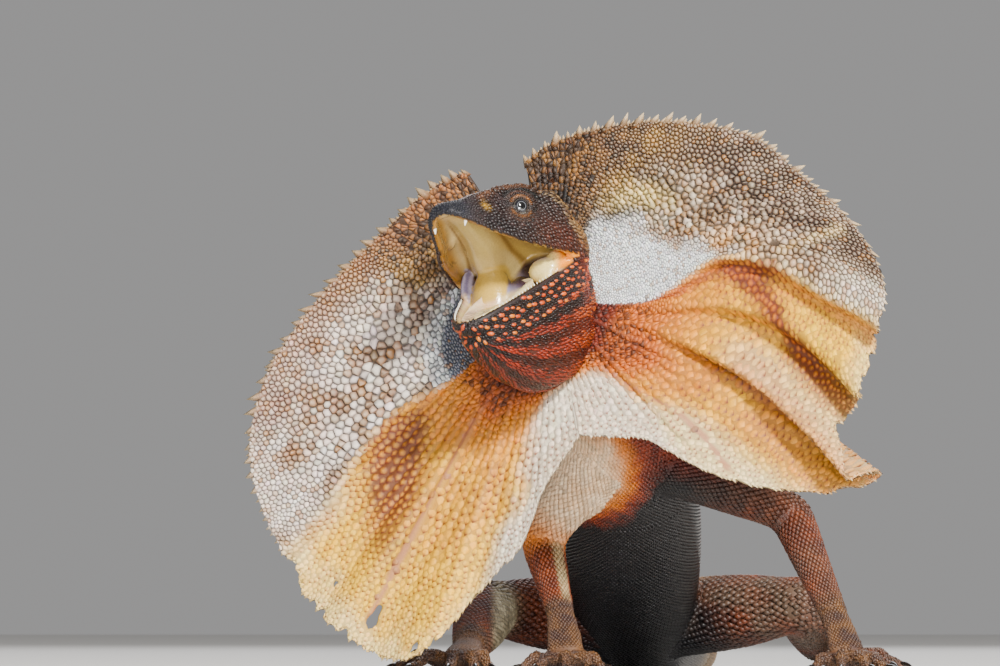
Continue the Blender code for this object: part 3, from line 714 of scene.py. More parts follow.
HAND_DIGITS = ((-62, 0.0085), (-30, 0.0135), (-4, 0.0165), (22, 0.0165), (58, 0.011))
TOE_DIGITS = ((-40, 0.01), (-20, 0.017), (-4, 0.026), (12, 0.034), (42, 0.02))
FEET = (
    Foot(Limb.ARM_LEFT, (0.084, 0.033, 0.0085), -20, 0.0066, 0.0023, HAND_DIGITS),
    Foot(Limb.ARM_RIGHT, (-0.011, 0.036, 0.0085), 4, 0.0066, 0.0023, HAND_DIGITS),
    Foot(Limb.LEG_LEFT, (0.091, 0.162, 0.0062), -38, 0.0068, 0.0025, TOE_DIGITS),
    Foot(Limb.LEG_RIGHT, (-0.047, 0.064, 0.0062), 12, 0.0068, 0.0025, TOE_DIGITS),
)

# ----- The forms of the head and jaw, as the solids have them, in the head's own frame.

SKULL = (
    (0.0038, 0.0048, 0.0034, 0.0016),
    (0.0076, 0.0078, 0.0056, 0.0022),
    (0.0145, 0.0108, 0.009, 0.0034),
    (0.023, 0.0145, 0.0148, 0.004),
    (0.031, 0.0186, 0.0196, 0.0042),
    (0.04, 0.0213, 0.0212, 0.0046),
    (0.049, 0.0236, 0.0204, 0.0058),
    (0.057, 0.0236, 0.018, 0.0105),
    (0.064, 0.0195, 0.016, 0.012),
)
JAW = (
    (0.0066, 0.0044, 0.0008, 0.0046),
    (0.0115, 0.0082, 0.0012, 0.0062),
    (0.021, 0.0128, 0.0012, 0.0084),
    (0.033, 0.0169, 0.0012, 0.01),
    (0.045, 0.0204, 0.0012, 0.0115),
    (0.055, 0.022, 0.001, 0.0122),
    (0.063, 0.0185, 0.0008, 0.0105),
)
THROAT = (
    (0.0115, 0.007, 0.003, 0.006),
    (0.018, 0.0103, 0.004, 0.015),
    (0.029, 0.0146, 0.005, 0.0255),
    (0.041, 0.018, 0.006, 0.031),
    (0.054, 0.0202, 0.006, 0.0325),
    (0.065, 0.0188, 0.006, 0.03),
)
THROAT_LEVEL = -0.006
BROW = (
    (0.0062, 0.01, 0.0052), (0.0094, 0.018, 0.0106), (0.0122, 0.0245, 0.0142),
    (0.0145, 0.0315, 0.0168), (0.0164, 0.0365, 0.0158), (0.0182, 0.0415, 0.0125),
)
BROW_LINE = Curve([(y, x, z) for x, y, z in BROW])
LIP_DROOP = (
    (0.003, 0.0018), (0.0095, 0.0032), (0.015, 0.0036), (0.02, 0.0042),
    (0.03, 0.0048), (0.04, 0.0036), (0.05, 0.0018), (0.057, 0.0008),
)
LIP = 0.0026
EAR = Vector((0.0212, 0.047, 0.0168))
NOSTRIL = Vector((0.0074, 0.0084, 0.004))


def back_loft(stations: tuple, matrix: Matrix, level: float = 0.0, power: float = 2.5) -> Loft:
    """A tube along the y axis of a frame, from stations of back, half width, rise and drop.

    Args:
        stations: Back, half width, rise and drop of each.
        matrix: The frame.
        level: The height of its centre line.
        power: How square its section is.

    Returns:
        The tube.
    """
    rows = [((0.0, back, level), (1, 0, 0), *sizes) for back, *sizes in stations]
    return Loft(rows, power, matrix)


class Mouth:
    """The hollow of the open mouth: its roof with a long soft swelling, and its floor."""

    cutter_depth = 0.016

    def __init__(self) -> None:
        """Makes the curves of the lips, the roof and the floor along the jaws."""
        self.skull_width = Curve([row[:2] for row in SKULL])
        self.jaw_width = Curve([row[:2] for row in JAW])
        self.droop = Curve(LIP_DROOP)
        self.roof_rise = Curve(
            ((0.004, 0.0012), (0.01, 0.0036), (0.02, 0.006), (0.045, 0.0066), (0.06, 0.004))
        )
        self.swelling = Curve(
            ((0.008, 0.0), (0.016, 0.0034), (0.03, 0.0064), (0.045, 0.01), (0.06, 0.013))
        )
        self.swelling_at = Curve(((0.01, -0.0005), (0.02, -0.0018), (0.034, -0.0039), (0.047, -0.0078)))
        self.floor_drop = Curve(
            ((0.0066, 0.003), (0.015, 0.004), (0.025, 0.0056), (0.035, 0.0075), (0.047, 0.01))
        )

    def swelling_width(self, y: np.ndarray) -> np.ndarray:
        """Half the width of the long swelling in the mouth's roof."""
        return 0.0042 + 0.1 * np.maximum(y - 0.015, 0)

    def roof(self, x: np.ndarray, y: np.ndarray) -> np.ndarray:
        """The height of the mouth's roof over the lip plane.

        Args:
            x: Where to find values.
            y: How far back points lie.

        Returns:
            Heights.
        """
        width = np.maximum(self.skull_width(y) - LIP, 0.0005)
        arch = self.roof_rise(y) * (1 - np.abs(np.clip(x / width, -1, 1)) ** 3.5)
        dome = self.swelling(y) * np.exp(-np.abs((x - self.swelling_at(y)) / self.swelling_width(y)) ** 3)
        pads = 0.001 * bump(np.abs(x), 0.0105, 0.003) * step(0.02, 0.03, y)
        arch_front = 0.0012 * bump(y, 0.0098, 0.0009) * (np.abs(x) < 0.0045)
        return arch - dome - pads - arch_front

    def floor(self, x: np.ndarray, y: np.ndarray) -> np.ndarray:
        """The depth of the mouth's floor under the lower lip plane."""
        width = np.maximum(self.jaw_width(y) - LIP, 0.0005)
        return self.floor_drop(y) * (1 - np.abs(np.clip(x / width, -1, 1)) ** 3)

    def roof_cutter(self) -> bpy.types.Object:
        """What is taken from the skull to leave the roof of the mouth."""
        return self.cutter(self.skull_width, self.roof, 0.0038, 0.057, 1.0, HEAD_FRAME)

    def floor_cutter(self) -> bpy.types.Object:
        """What is taken from the jaw to leave the floor of the mouth."""
        return self.cutter(self.jaw_width, self.floor, 0.0066, 0.06, -1.0, JAW_FRAME)

    def cutter(
        self, width: Curve, height: Callable, front: float, back: float, sign: float, matrix: Matrix
    ) -> bpy.types.Object:
        """A closed block whose one face follows the mouth's roof or floor.

        Args:
            width: The jaw's half width along it.
            height: The roof's height or the floor's depth at x and y.
            front: Where the hollow starts.
            back: Where it ends.
            sign: 1 for the roof, -1 for the floor.
            matrix: The frame of the head or of the jaw.

        Returns:
            The block.
        """
        y = np.linspace(front, back, 60)
        reach = np.maximum(width(y) - LIP, 0.0008) * np.minimum(1.0, 0.25 + (y - front) / 0.004) ** 0.5
        x = reach[:, None] * np.linspace(-1, 1, 41)[None, :]
        face = np.stack([x, np.broadcast_to(y[:, None], x.shape), height(x, y[:, None]) * sign], axis=2)
        far = face[:, ::-1].copy()
        far[..., 2] = -self.cutter_depth * sign
        points = capped(np.concatenate([face, far], axis=1))
        return wrapped("cutter", moved(points.reshape(-1, 3), matrix).reshape(points.shape))


def capped(rings: np.ndarray) -> np.ndarray:
    """Rings of points with a pole, at the middle of the first and of the last, before and after them."""
    poles = [np.repeat(rings[i].mean(axis=0, keepdims=True), rings.shape[1], 0)[None] for i in (0, -1)]
    return np.concatenate([poles[0], rings, poles[1]])


MOUTH = Mouth()


class Flesh(Enum):
    """What the soft swellings at the back of the mouth are: their two colours."""

    COLUMN = ("c2a668", "e6d8ae")
    # Painted shade: near-black swellings stand for the shade deep in the throat, with a pale lilac band
    # across them.
    DEEP = ("2c1f2a", "8d86a0")
    SLIT = ("b0a8ba", "756d88")
    PAD = ("ead79c", "cfc6cc")

    def tint(self, x: np.ndarray, rise: np.ndarray) -> np.ndarray:
        """The colours of a swelling.

        Args:
            x: How far to the left the points lie.
            rise: How far over the swelling's middle, in radii of it.

        Returns:
            A colour for each point.
        """
        share = {
            Flesh.COLUMN: lambda: step(-0.2, -0.9, rise),
            Flesh.DEEP: lambda: 0.8 * bump(rise + 0.3 * (x / 0.005), 0.45, 0.22),
            Flesh.SLIT: lambda: step(-0.5, 0.6, np.sin(x * 3000)),
            Flesh.PAD: lambda: step(0.2, 0.9, rise),
        }[self]()
        return mix(*self.value, share)


# Soft swellings at the back of the mouth, in the head's frame: place, radii, and which flesh they are.
SWELLINGS = (
    ((-0.008, 0.0475, -0.012), (0.0072, 0.006, 0.0125), Flesh.COLUMN),
    ((0.0035, 0.057, -0.011), (0.015, 0.005, 0.013), Flesh.DEEP),
    ((0.0016, 0.05, -0.0176), (0.0058, 0.0046, 0.0126), Flesh.DEEP),
    ((-0.013, 0.0565, -0.008), (0.008, 0.0045, 0.012), Flesh.COLUMN),
    ((-0.0172, 0.0475, -0.008), (0.0022, 0.004, 0.0085), Flesh.SLIT),
    ((0.0118, 0.049, -0.0062), (0.006, 0.0042, 0.0044), Flesh.PAD),
    ((0.0128, 0.0495, -0.01), (0.0036, 0.0036, 0.0052), Flesh.PAD),
    ((0.0155, 0.052, -0.003), (0.0036, 0.005, 0.004), Flesh.PAD),
)


def ellipsoid(name: str, place: tuple, radii: tuple, matrix: Matrix, detail: int = 3) -> bpy.types.Object:
    """A rounded swelling placed in a frame.

    Args:
        name: The piece's name.
        place: Where its middle is.
        radii: Its three radii.
        matrix: The frame.
        detail: How finely it is divided.

    Returns:
        The new object.
    """
    mesh = bmesh.new()
    bmesh.ops.create_icosphere(mesh, subdivisions=detail, radius=1.0)
    return finished(name, mesh, matrix @ Matrix.Translation(place) @ Matrix.Diagonal((*radii, 1.0)))


def ring_of(radius: float, thickness: float, matrix: Matrix) -> bpy.types.Object:
    """A round ring in the xy plane of a frame.

    Args:
        radius: The ring's radius.
        thickness: Its half thickness.
        matrix: The frame.

    Returns:
        The new object.
    """
    mesh = bmesh.new()
    circle = bmesh.ops.create_circle(mesh, radius=thickness, segments=12)["verts"]
    bmesh.ops.rotate(mesh, cent=(0, 0, 0), matrix=Matrix.Rotation(math.pi / 2, 3, "X"), verts=circle)
    bmesh.ops.translate(mesh, vec=(radius, 0, 0), verts=circle)
    bmesh.ops.spin(
        mesh, geom=mesh.edges[:], cent=(0, 0, 0), axis=(0, 0, 1), angle=2 * math.pi, steps=48, use_merge=True
    )
    return finished("ring", mesh, matrix)


def mirrored(place: Vector, side: int) -> Vector:
    """A place on the left side of the head, or where side is -1 its mirror image."""
    return Vector((place.x * side, place.y, place.z))


def eye_matrix(side: int, out: float = 0.0) -> Matrix:
    """A frame at one eye whose z axis looks out of it.

    Args:
        side: 1 left, -1 right.
        out: How far out of the head.

    Returns:
        The frame.
    """
    facing = mirrored(EYE_FACING, side)
    centre = mirrored(EYE_CENTRE, side) + facing * out
    return HEAD_FRAME @ Matrix.Translation(centre) @ facing.to_track_quat("Z", "Y").to_matrix().to_4x4()


# Of the rings that make the lids: radius, thickness and how far out of the eye's centre they lie.
LID_RINGS = ((0.0034, 0.0009, 0.0036), (0.0048, 0.001, 0.0026), (0.0061, 0.0009, 0.0012))

# Of the dents and swellings of the head: place on its left side, radius and height.
DENTS = (
    ((0.014, 0.0185, 0.005), 0.005, -0.0009), ((0.0225, 0.047, 0.004), 0.008, 0.0009),
    ((0.019, 0.0425, 0.0145), 0.0038, -0.001), ((0.0175, 0.036, 0.001), 0.004, -0.0004),
    ((0.0, 0.03, 0.019), 0.005, -0.0007), ((0.0105, 0.01, 0.002), 0.0025, 0.0004),
)
THROAT_FOLDS = 17


def throat_fold(places: np.ndarray, j: np.ndarray) -> np.ndarray:
    """The folds along the throat, -1 to 1, at points and at the same in the jaw's frame."""
    turn = np.arctan2(j[:, 0], -(j[:, 2] + 0.006))
    return np.cos(turn * THROAT_FOLDS + 3 * NOISE(places, 0.012))


@dataclass
class Skin:
    """The lizard's one skin: trunk, tail and limbs, and the head, jaw and throat in finer faces."""

    trunk_voxel: float = 0.0015
    head_voxel: float = 0.00066
    eye_room: float = 0.00005

    def body(self) -> bpy.types.Object:
        """Trunk, tail, limbs, hands and feet melted together.

        Returns:
            The new object.
        """
        pieces = [trunk_loft().solid("trunk", 240, 40, (0.0, 0.002), -COAT)]
        for limb in Limb:
            pieces.append(limb.loft().solid("limb", 60, 28, (limb.radii[0][0] * 0.8, 0.004), -COAT))
        for foot in FEET:
            pieces.append(foot.palm_loft().solid("palm", 20, 24, (0.002, 0.002), -COAT))
            for loft in foot.digit_lofts():
                pieces.append(loft.solid("digit", 24, 14, (0.001, foot.digit_radius * 0.7), -COAT * 0.5))
        return fused("body", pieces, self.trunk_voxel, 7, self.body_softness)

    @staticmethod
    def body_softness(places: np.ndarray) -> np.ndarray:
        """Less smoothing on hands, feet and the tail's end, which it would thin."""
        soft = step(0.004, 0.016, places[:, 2])
        return np.where(places[:, 1] - SHIFT.y > 0.42, 0.1, np.maximum(soft, 0.1))

    def head(self) -> bpy.types.Object:
        """Skull, lids, brows, jaw, throat and the flesh of the mouth melted together.

        Returns:
            The new object.
        """
        skull = back_loft(SKULL, HEAD_FRAME).solid("skull", 60, 64, (0.0022, 0.004), -COAT)
        tools = [MOUTH.roof_cutter()]
        for side in (1, -1):
            tools.append(ellipsoid("nostril", mirrored(NOSTRIL, side), (0.0011,) * 3, HEAD_FRAME, 2))
        cut(skull, tools)
        jaw = back_loft(JAW, JAW_FRAME).solid("jaw", 60, 56, (0.002, 0.003), -COAT)
        cut(jaw, [MOUTH.floor_cutter()])
        throat = back_loft(THROAT, JAW_FRAME, THROAT_LEVEL, 2.1)
        throat = throat.solid("throat", 50, 56, (0.003, 0.004), -COAT)
        cut(throat, [MOUTH.floor_cutter()])
        neck = Loft(trunk_loft().stations[:5], 2.1).solid("neck", 40, 48, (0.001, 0.001), -COAT * 2)
        pieces = [skull, jaw, throat, neck]
        for side in (1, -1):
            for radius, thickness, out in LID_RINGS:
                pieces.append(ring_of(radius, thickness, eye_matrix(side, out)))
            rows = [((x * side, y, z - 0.001), (1, 0, 0), 0.0013, 0.0021, 0.003) for x, y, z in BROW]
            pieces.append(Loft(rows, 2.0, HEAD_FRAME).solid("brow", 30, 16, (0.001, 0.001)))
            temple = ellipsoid("temple", (0.016 * side, 0.045, 0.0115), (0.0064, 0.009, 0.008), HEAD_FRAME)
            cut(temple, [ellipsoid("ear", mirrored(EAR, side), (0.0026, 0.004, 0.004), HEAD_FRAME)])
            pieces += [temple, self.lip_roll(side), self.cheek_web(side)]
        pieces += [ellipsoid("swelling", place, radii, HEAD_FRAME) for place, radii, _ in SWELLINGS]
        return fused("head", pieces, self.head_voxel, 5, self.head_softness)

    @staticmethod
    def head_softness(places: np.ndarray) -> np.ndarray:
        """Less smoothing at the lids, whose rims stay crisp."""
        return 0.3 + 0.7 * step(0.006, 0.01, from_eye(in_head(places)))

    @staticmethod
    def lip_roll(side: int) -> bpy.types.Object:
        """The upper lip of one side, which hangs lower than the mouth's edge.

        Args:
            side: 1 left, -1 right.

        Returns:
            The new object.
        """
        rows = []
        for y in np.linspace(0.0032, 0.057, 14):
            fall, width = float(MOUTH.droop(y)), float(MOUTH.skull_width(y))
            place = (max(width - 0.0017, 0.0004) * side, y, -fall / 2)
            rows.append((place, (1, 0, 0), 0.0014, fall / 2 + 0.0016, fall / 2))
        return Loft(rows, 2.3, HEAD_FRAME).solid("lip", 60, 16, (0.001, 0.001))

    @staticmethod
    def cheek_web(side: int) -> bpy.types.Object:
        """The skin stretched between the jaws at one corner of the mouth.

        Args:
            side: 1 left, -1 right.

        Returns:
            The new object.
        """
        across = np.array(HEAD_FRAME.to_3x3() @ Vector((0.0007 * side, 0, 0)))
        inward = HEAD_FRAME.to_3x3() @ Vector((-side * 0.004, 0.01, 0))
        rings = []
        for share in np.linspace(0, 1, 9):
            y = 0.0475 + 0.0135 * share
            upper, lower = (
                frame_of @ Vector(((float(width(y)) - LIP * 0.75) * side, y, -0.0015))
                for frame_of, width in ((HEAD_FRAME, MOUTH.skull_width), (JAW_FRAME, MOUTH.jaw_width))
            )
            middle = upper.lerp(lower, 0.5) + inward * (1 - share) ** 1.5
            path = Curve([(0.0, *upper), (0.5, *middle), (1.0, *lower)])(np.linspace(0, 1, 9))
            rings.append(np.concatenate([path + across, path[::-1] - across]))
        return wrapped("web", capped(np.array(rings)))

    @staticmethod
    def dents(places: np.ndarray) -> np.ndarray:
        """How far the head's hollows, swellings and folds push each of its points out.

        Args:
            places: The points.

        Returns:
            A length for each point.
        """
        sided = either_side(in_head(places))
        push = np.zeros(len(places))
        for place, radius, height in DENTS:
            push += height * np.exp(-np.sum((sided - np.array(place)) ** 2, axis=1) / radius**2)
        jaw = in_jaw(places)
        low = step(0.01, 0.02, -jaw[:, 2]) * step(0.016, 0.03, jaw[:, 1])
        return push + throat_fold(places, jaw) * 0.00035 * low

    def build(self) -> bpy.types.Object:
        """The whole skin as one closed surface.

        Returns:
            The new object.
        """
        head = self.head()
        points, normals = points_of(head.data), normals_of(head.data)
        place_points(head.data, points + normals * self.dents(points)[:, None])
        socket = (EYE_RADIUS - self.eye_room,) * 3
        cut(head, [ellipsoid("socket", (0, 0, 0), socket, eye_matrix(side)) for side in (1, -1)])
        body = self.body()
        cut(body, [head], "UNION")
        body.name = "skin"
        points = points_of(body.data)
        points[:, 2] = np.maximum(points[:, 2], 0.0001)
        place_points(body.data, points)
        return body


def smooth_shaded(obj: bpy.types.Object) -> bpy.types.Object:
    """Shades an object smoothly."""
    obj.data.shade_smooth()
    return obj


# ----- Scales: many small closed shapes laid over a skin.


class ScaleShape(Enum):
    """The forms that single scales take, each a few faces over a unit patch that points along +y."""

    BEAD = "bead"
    KEELED = "keeled"

    def parts(self) -> tuple:
        """Points, how far each is from the dark edge to the tinted top, and faces.

        Returns:
            Its points, their shade and its faces.
        """
        turns = np.linspace(0, 2 * math.pi, 6, endpoint=False) + math.pi / 6
        ring = [(math.cos(a), math.sin(a)) for a in turns]
        if self is ScaleShape.BEAD:
            points = [(0.5 * x, 0.5 * y, -0.2) for x, y in ring]
            points += [(0.36 * x, 0.36 * y + 0.02, 0.72) for x, y in ring] + [(0.0, 0.06, 1.0)]
            shade = [0.0] * 6 + [0.85] * 6 + [1.0]
            faces = [(i, (i + 1) % 6, (i + 1) % 6 + 6, i + 6) for i in range(6)]
            faces += [(i + 6, (i + 1) % 6 + 6, 12) for i in range(6)]
        else:
            points = [(0, -0.5, 0.0), (0.5, 0.02, 0.3), (0, 0.64, 0.78), (-0.5, 0.02, 0.3), (0, 0.06, 1.0)]
            points += [(0, -0.46, -0.25), (0.42, 0.02, -0.25), (0, 0.52, -0.25), (-0.42, 0.02, -0.25)]
            shade = [0.45, 0.25, 0.8, 0.25, 1.0, 0.0, 0.0, 0.0, 0.0]
            faces = [(0, 1, 4), (1, 2, 4), (2, 3, 4), (3, 0, 4)]
            faces += [(5, 6, 1, 0), (6, 7, 2, 1), (7, 8, 3, 2), (8, 5, 0, 3)]
        return np.array(points), np.array(shade), faces


@dataclass
class Scales:
    """Scales of one shape: where each sits, which way it lies, its sizes and its colours."""

    places: np.ndarray
    along: np.ndarray
    normals: np.ndarray
    width: np.ndarray
    length: np.ndarray
    height: np.ndarray
    tint: np.ndarray
    edge: np.ndarray
    chart: np.ndarray
    wet: float = 0.0

    def build(self, name: str, shape: ScaleShape) -> bpy.types.Object:
        """One mesh of all these scales.

        Args:
            name: The piece's name.
            shape: The form of each scale.

        Returns:
            The new object.
        """
        unit_points, shade, faces = shape.parts()
        along = unit(self.along - self.normals * np.sum(self.along * self.normals, axis=1, keepdims=True))
        across = np.cross(along, self.normals)
        local = unit_points[None] * np.stack([self.width, self.length, self.height], axis=1)[:, None]
        points = self.places[:, None] + across[:, None] * local[..., 0:1]
        points += along[:, None] * local[..., 1:2] + self.normals[:, None] * local[..., 2:3]
        points[..., 2] = np.maximum(points[..., 2], 0.0)
        copies = copied_faces(faces, *points.shape[:2])
        colours = shaded(self.edge, self.tint, shade)
        maps = charted_copies(self.chart, unit_points, faces)
        return raw_mesh(name, points.reshape(-1, 3), *copies, colours.reshape(-1, 3), self.wet, maps)


MAP_ENDS = (0.001, 0.999)
MAP_SPREAD = 0.003


def copied_faces(faces: list, count: int, per: int) -> tuple:
    """The faces of many copies of one shape.

    Args:
        faces: The shape's faces, each the numbers of its points.
        count: How many copies there are.
        per: How many points each copy has.

    Returns:
        The points of all faces in turn, where each face starts, and how many points each has.
    """
    loops, sizes = np.concatenate(faces), np.array([len(face) for face in faces])
    starts = np.concatenate([[0], np.cumsum(sizes)[:-1]])
    copy = np.arange(count)[:, None]
    return (copy * per + loops).ravel(), (copy * len(loops) + starts).ravel(), np.tile(sizes, count)


def shaded(edge: np.ndarray, top: np.ndarray, shade: np.ndarray) -> np.ndarray:
    """Colours from each shape's edge to its top, for each of its points."""
    return edge[:, None] + (top - edge)[:, None] * shade[None, :, None]


def charted_copies(chart: np.ndarray, unit_points: np.ndarray, faces: list) -> np.ndarray:
    """The OFBake place of each corner of the faces of many copies of one shape."""
    return chart[:, None] + unit_points[np.concatenate(faces), :2] * MAP_SPREAD


def raw_mesh(
    name: str,
    points: np.ndarray,
    loops: np.ndarray,
    starts: np.ndarray,
    sizes: np.ndarray,
    tints: np.ndarray,
    wet: float,
    maps: np.ndarray,
) -> bpy.types.Object:
    """A mesh of many small shapes from arrays of their points and faces.

    Args:
        name: The object's name.
        points: Every point.
        loops: The points of all faces in turn.
        starts: Where each face starts in loops.
        sizes: How many points each face has.
        tints: A colour for each point.
        wet: How glossy the whole piece is.
        maps: The OFBake place of each entry of loops.

    Returns:
        The new object, shaded smoothly.
    """
    data = bpy.data.meshes.new(name)
    data.vertices.add(len(points))
    data.vertices.foreach_set("co", points.astype(np.float32).ravel())
    data.loops.add(len(loops))
    data.loops.foreach_set("vertex_index", loops.astype(np.int32))
    data.polygons.add(len(starts))
    data.polygons.foreach_set("loop_start", starts.astype(np.int32))
    data.polygons.foreach_set("loop_total", sizes.astype(np.int32))
    layer = data.uv_layers.new(name="OFBake")
    layer.data.foreach_set("uv", np.clip(maps, *MAP_ENDS).astype(np.float32).ravel())
    data.update(calc_edges=True)
    data.validate()
    paint(data, tints, np.full(len(points), wet))
    data.shade_smooth()
    obj = bpy.data.objects.new(name, data)
    bpy.context.scene.collection.objects.link(obj)
    return obj


def from_eye(h: np.ndarray) -> np.ndarray:
    """How far places in the head's frame are from the centre of the eye on their side."""
    return np.linalg.norm(either_side(h) - np.array(EYE_CENTRE), axis=1)


def thinned(places: np.ndarray, spacing: np.ndarray, draw: np.random.Generator) -> np.ndarray:
    """Which of many places to keep, in random order, so that none is nearer another than its spacing.

    Args:
        places: The points.
        spacing: How near another each may be.
        draw: The source of random numbers.

    Returns:
        The numbers of the places to keep.
    """
    tree = tree_of(places)
    gone = np.zeros(len(places), bool)
    kept = []
    for i in draw.permutation(len(places)):
        if not gone[i]:
            kept.append(i)
            for _, j, _ in tree.find_range(places[i], float(spacing[i])):
                gone[j] = True
    return np.array(kept, int)


def scattered(data: bpy.types.Mesh, wanted: np.ndarray, density: float, draw: np.random.Generator) -> tuple:
    """Random places over the chosen faces of a mesh, with the normals there.

    Args:
        data: The mesh.
        wanted: Which points of the mesh count.
        density: How many places there are to a square metre.
        draw: The source of random numbers.

    Returns:
        The places and the normals.
    """
    data.calc_loop_triangles()
    triangles = np.empty(len(data.loop_triangles) * 3, np.int32)
    data.loop_triangles.foreach_get("vertices", triangles)
    triangles = triangles.reshape(-1, 3)
    points, normals = points_of(data), normals_of(data)
    triangles = triangles[wanted[triangles].all(axis=1)]
    a, b, c = (points[triangles[:, k]] for k in range(3))
    areas = np.linalg.norm(np.cross(b - a, c - a), axis=1) / 2
    count = int(areas.sum() * density)
    chosen = draw.choice(len(triangles), count, p=areas / areas.sum())
    u, v = draw.random(count), draw.random(count)
    u, v = np.where(u + v > 1, 1 - u, u), np.where(u + v > 1, 1 - v, v)
    share = np.stack([1 - u - v, u, v], axis=1)[..., None]
    corners = triangles[chosen]
    return np.sum(points[corners] * share, axis=1), unit(np.sum(normals[corners] * share, axis=1))


# ----- Markings, with painted light and shade among them.


class Body:
    """Where points lie along and round the trunk and limbs, for the markings that skin and scales share."""

    chunk = 20000

    def __init__(self) -> None:
        """Samples the centre lines."""
        self.trunk = trunk_loft()
        self.limbs = {limb: limb.loft() for limb in Limb}
        self.samples = {"trunk": self.sample(self.trunk, 260)}
        for limb, loft in self.limbs.items():
            self.samples[limb] = self.sample(loft, 50)

    @staticmethod
    def sample(loft: Loft, count: int) -> tuple:
        """Evenly counted places on a centre line, with their frames.

        Args:
            loft: The tube.
            count: How many rows to take.

        Returns:
            Places along the tube, their frames, the mean radii there and the lengths along it.
        """
        t = np.linspace(0, loft.last, count)
        centre, side, up, tangent, sizes = loft.frames(t)
        return t, centre, side, up, tangent, sizes.mean(axis=1), np.interp(t, loft.fine, loft.run)

    def near(self, key: object, places: np.ndarray) -> tuple:
        """For places near a centre line: depth from its surface, length along it, and turn from its top.

        Args:
            key: The trunk, or one of the limbs.
            places: The points.

        Returns:
            These, and the place along the tube.
        """
        t, centre, side, up, _, radius, run = self.samples[key]
        best = np.empty(len(places), int)
        for start in range(0, len(places), self.chunk):
            own = slice(start, start + self.chunk)
            best[own] = np.argmin(np.sum((places[own, None] - centre[None]) ** 2, axis=2), axis=1)
        out = places - centre[best]
        away = np.linalg.norm(out, axis=1)
        turn = np.arctan2(np.sum(out * side[best], axis=1), np.sum(out * up[best], axis=1))
        return away - radius[best], run[best], turn, t[best]


BODY = Body()


def head_inside(places: np.ndarray) -> np.ndarray:
    """How surely points are flesh inside the mouth, 0 to 1.

    Args:
        places: The points.

    Returns:
        A share for each point.
    """
    h = in_head(places)
    j = in_jaw(places)
    under_roof = 1 - step(0.0006, 0.0016, h[:, 2] - np.maximum(MOUTH.roof(h[:, 0], h[:, 1]), -0.0004))
    over_floor = 1 - step(0.0006, 0.0016, -MOUTH.floor(j[:, 0], j[:, 1]) - j[:, 2])
    beside = 1 - step(-0.0019, -0.0009, np.abs(h[:, 0]) - MOUTH.skull_width(h[:, 1]))
    above = h[:, 2] > -MOUTH.droop(h[:, 1]) - 0.0004
    within = np.where(above, beside, 1.0)
    beside_jaw = 1 - step(-0.0014, -0.0004, np.abs(j[:, 0]) - MOUTH.jaw_width(j[:, 1]))
    within = np.where(j[:, 2] < 0.0012, np.minimum(within, beside_jaw), within)
    front = step(0.003, 0.0042, h[:, 1]) * np.where(j[:, 2] < 0.0012, step(0.0072, 0.0082, j[:, 1]), 1.0)
    return under_roof * over_floor * within * front * (h[:, 1] < 0.0625)


def mouth_tint(places: np.ndarray) -> np.ndarray:
    """The colours of the flesh inside the mouth.

    Args:
        places: The points.

    Returns:
        A colour for each point.
    """
    h = in_head(places)
    j = in_jaw(places)
    x, y, z = h.T
    soft = NOISE(places, 0.006)
    roof = mix("b59f70", "cfba8c", step(0.2, 0.8, soft))
    roof = mix(roof, "bba068", step(0.03, 0.05, y) * (x > 0))
    off = np.abs(x - MOUTH.swelling_at(y)) / MOUTH.swelling_width(y)
    dome = np.exp(-(off**3))
    roof = mix(roof, "b6a472", dome * step(0.012, 0.02, y) * (1 - step(0.034, 0.046, y)))
    roof = mix(roof, "cfb882", dome * step(0.034, 0.05, y))
    edge = 1 - step(0.0, 0.0036, MOUTH.skull_width(y) - LIP - np.abs(x))
    band = mix("9c7038", "5e3c1e", step(0.6, 0.85, NOISE.spread(places, 0.0022)))
    roof = mix(roof, band, 0.9 * edge * (z > -0.006))
    roof = mix(roof, "5e3c1c", 0.7 * bump(off, 1.12, 0.1) * step(0.014, 0.022, y))
    spot = np.exp(-np.sum((h[:, :2] - (0.0135, 0.036)) ** 2, axis=1) / 0.0009**2)
    roof = mix(roof, "3a2a1c", spot)
    colour = roof
    for place, radii, flesh in SWELLINGS:
        apart = np.linalg.norm((h - np.array(place)) / (np.array(radii) * 1.12), axis=1)
        own = 1 - step(0.98, 1.12, apart)
        rise = (z - place[2]) / radii[2]
        colour = mix(colour, flesh.tint(x, rise), own)
    beside = step(0.0044, 0.0032, MOUTH.jaw_width(j[:, 1]) - np.abs(j[:, 0])) * step(0.003, 0.0008, j[:, 2])
    below = np.maximum(step(-0.001, -0.003, j[:, 2]), beside) * (j[:, 1] < 0.047)
    colour = mix(colour, mix("e0d2a4", "dab49a", NOISE.spread(places, 0.003)), below)
    lip = step(0.0032, 0.0022, MOUTH.jaw_width(j[:, 1]) - np.abs(j[:, 0])) * step(-0.003, -0.0016, j[:, 2])
    colour = mix(colour, "17100f", lip * step(0.0014, 0.0006, j[:, 2]) * (j[:, 1] < 0.044))
    corner = step(0.046, 0.0495, y) * step(0.015, 0.0165, np.abs(x))
    return mix(colour, mix("c9a36a", "e89a34", x > 0), corner)


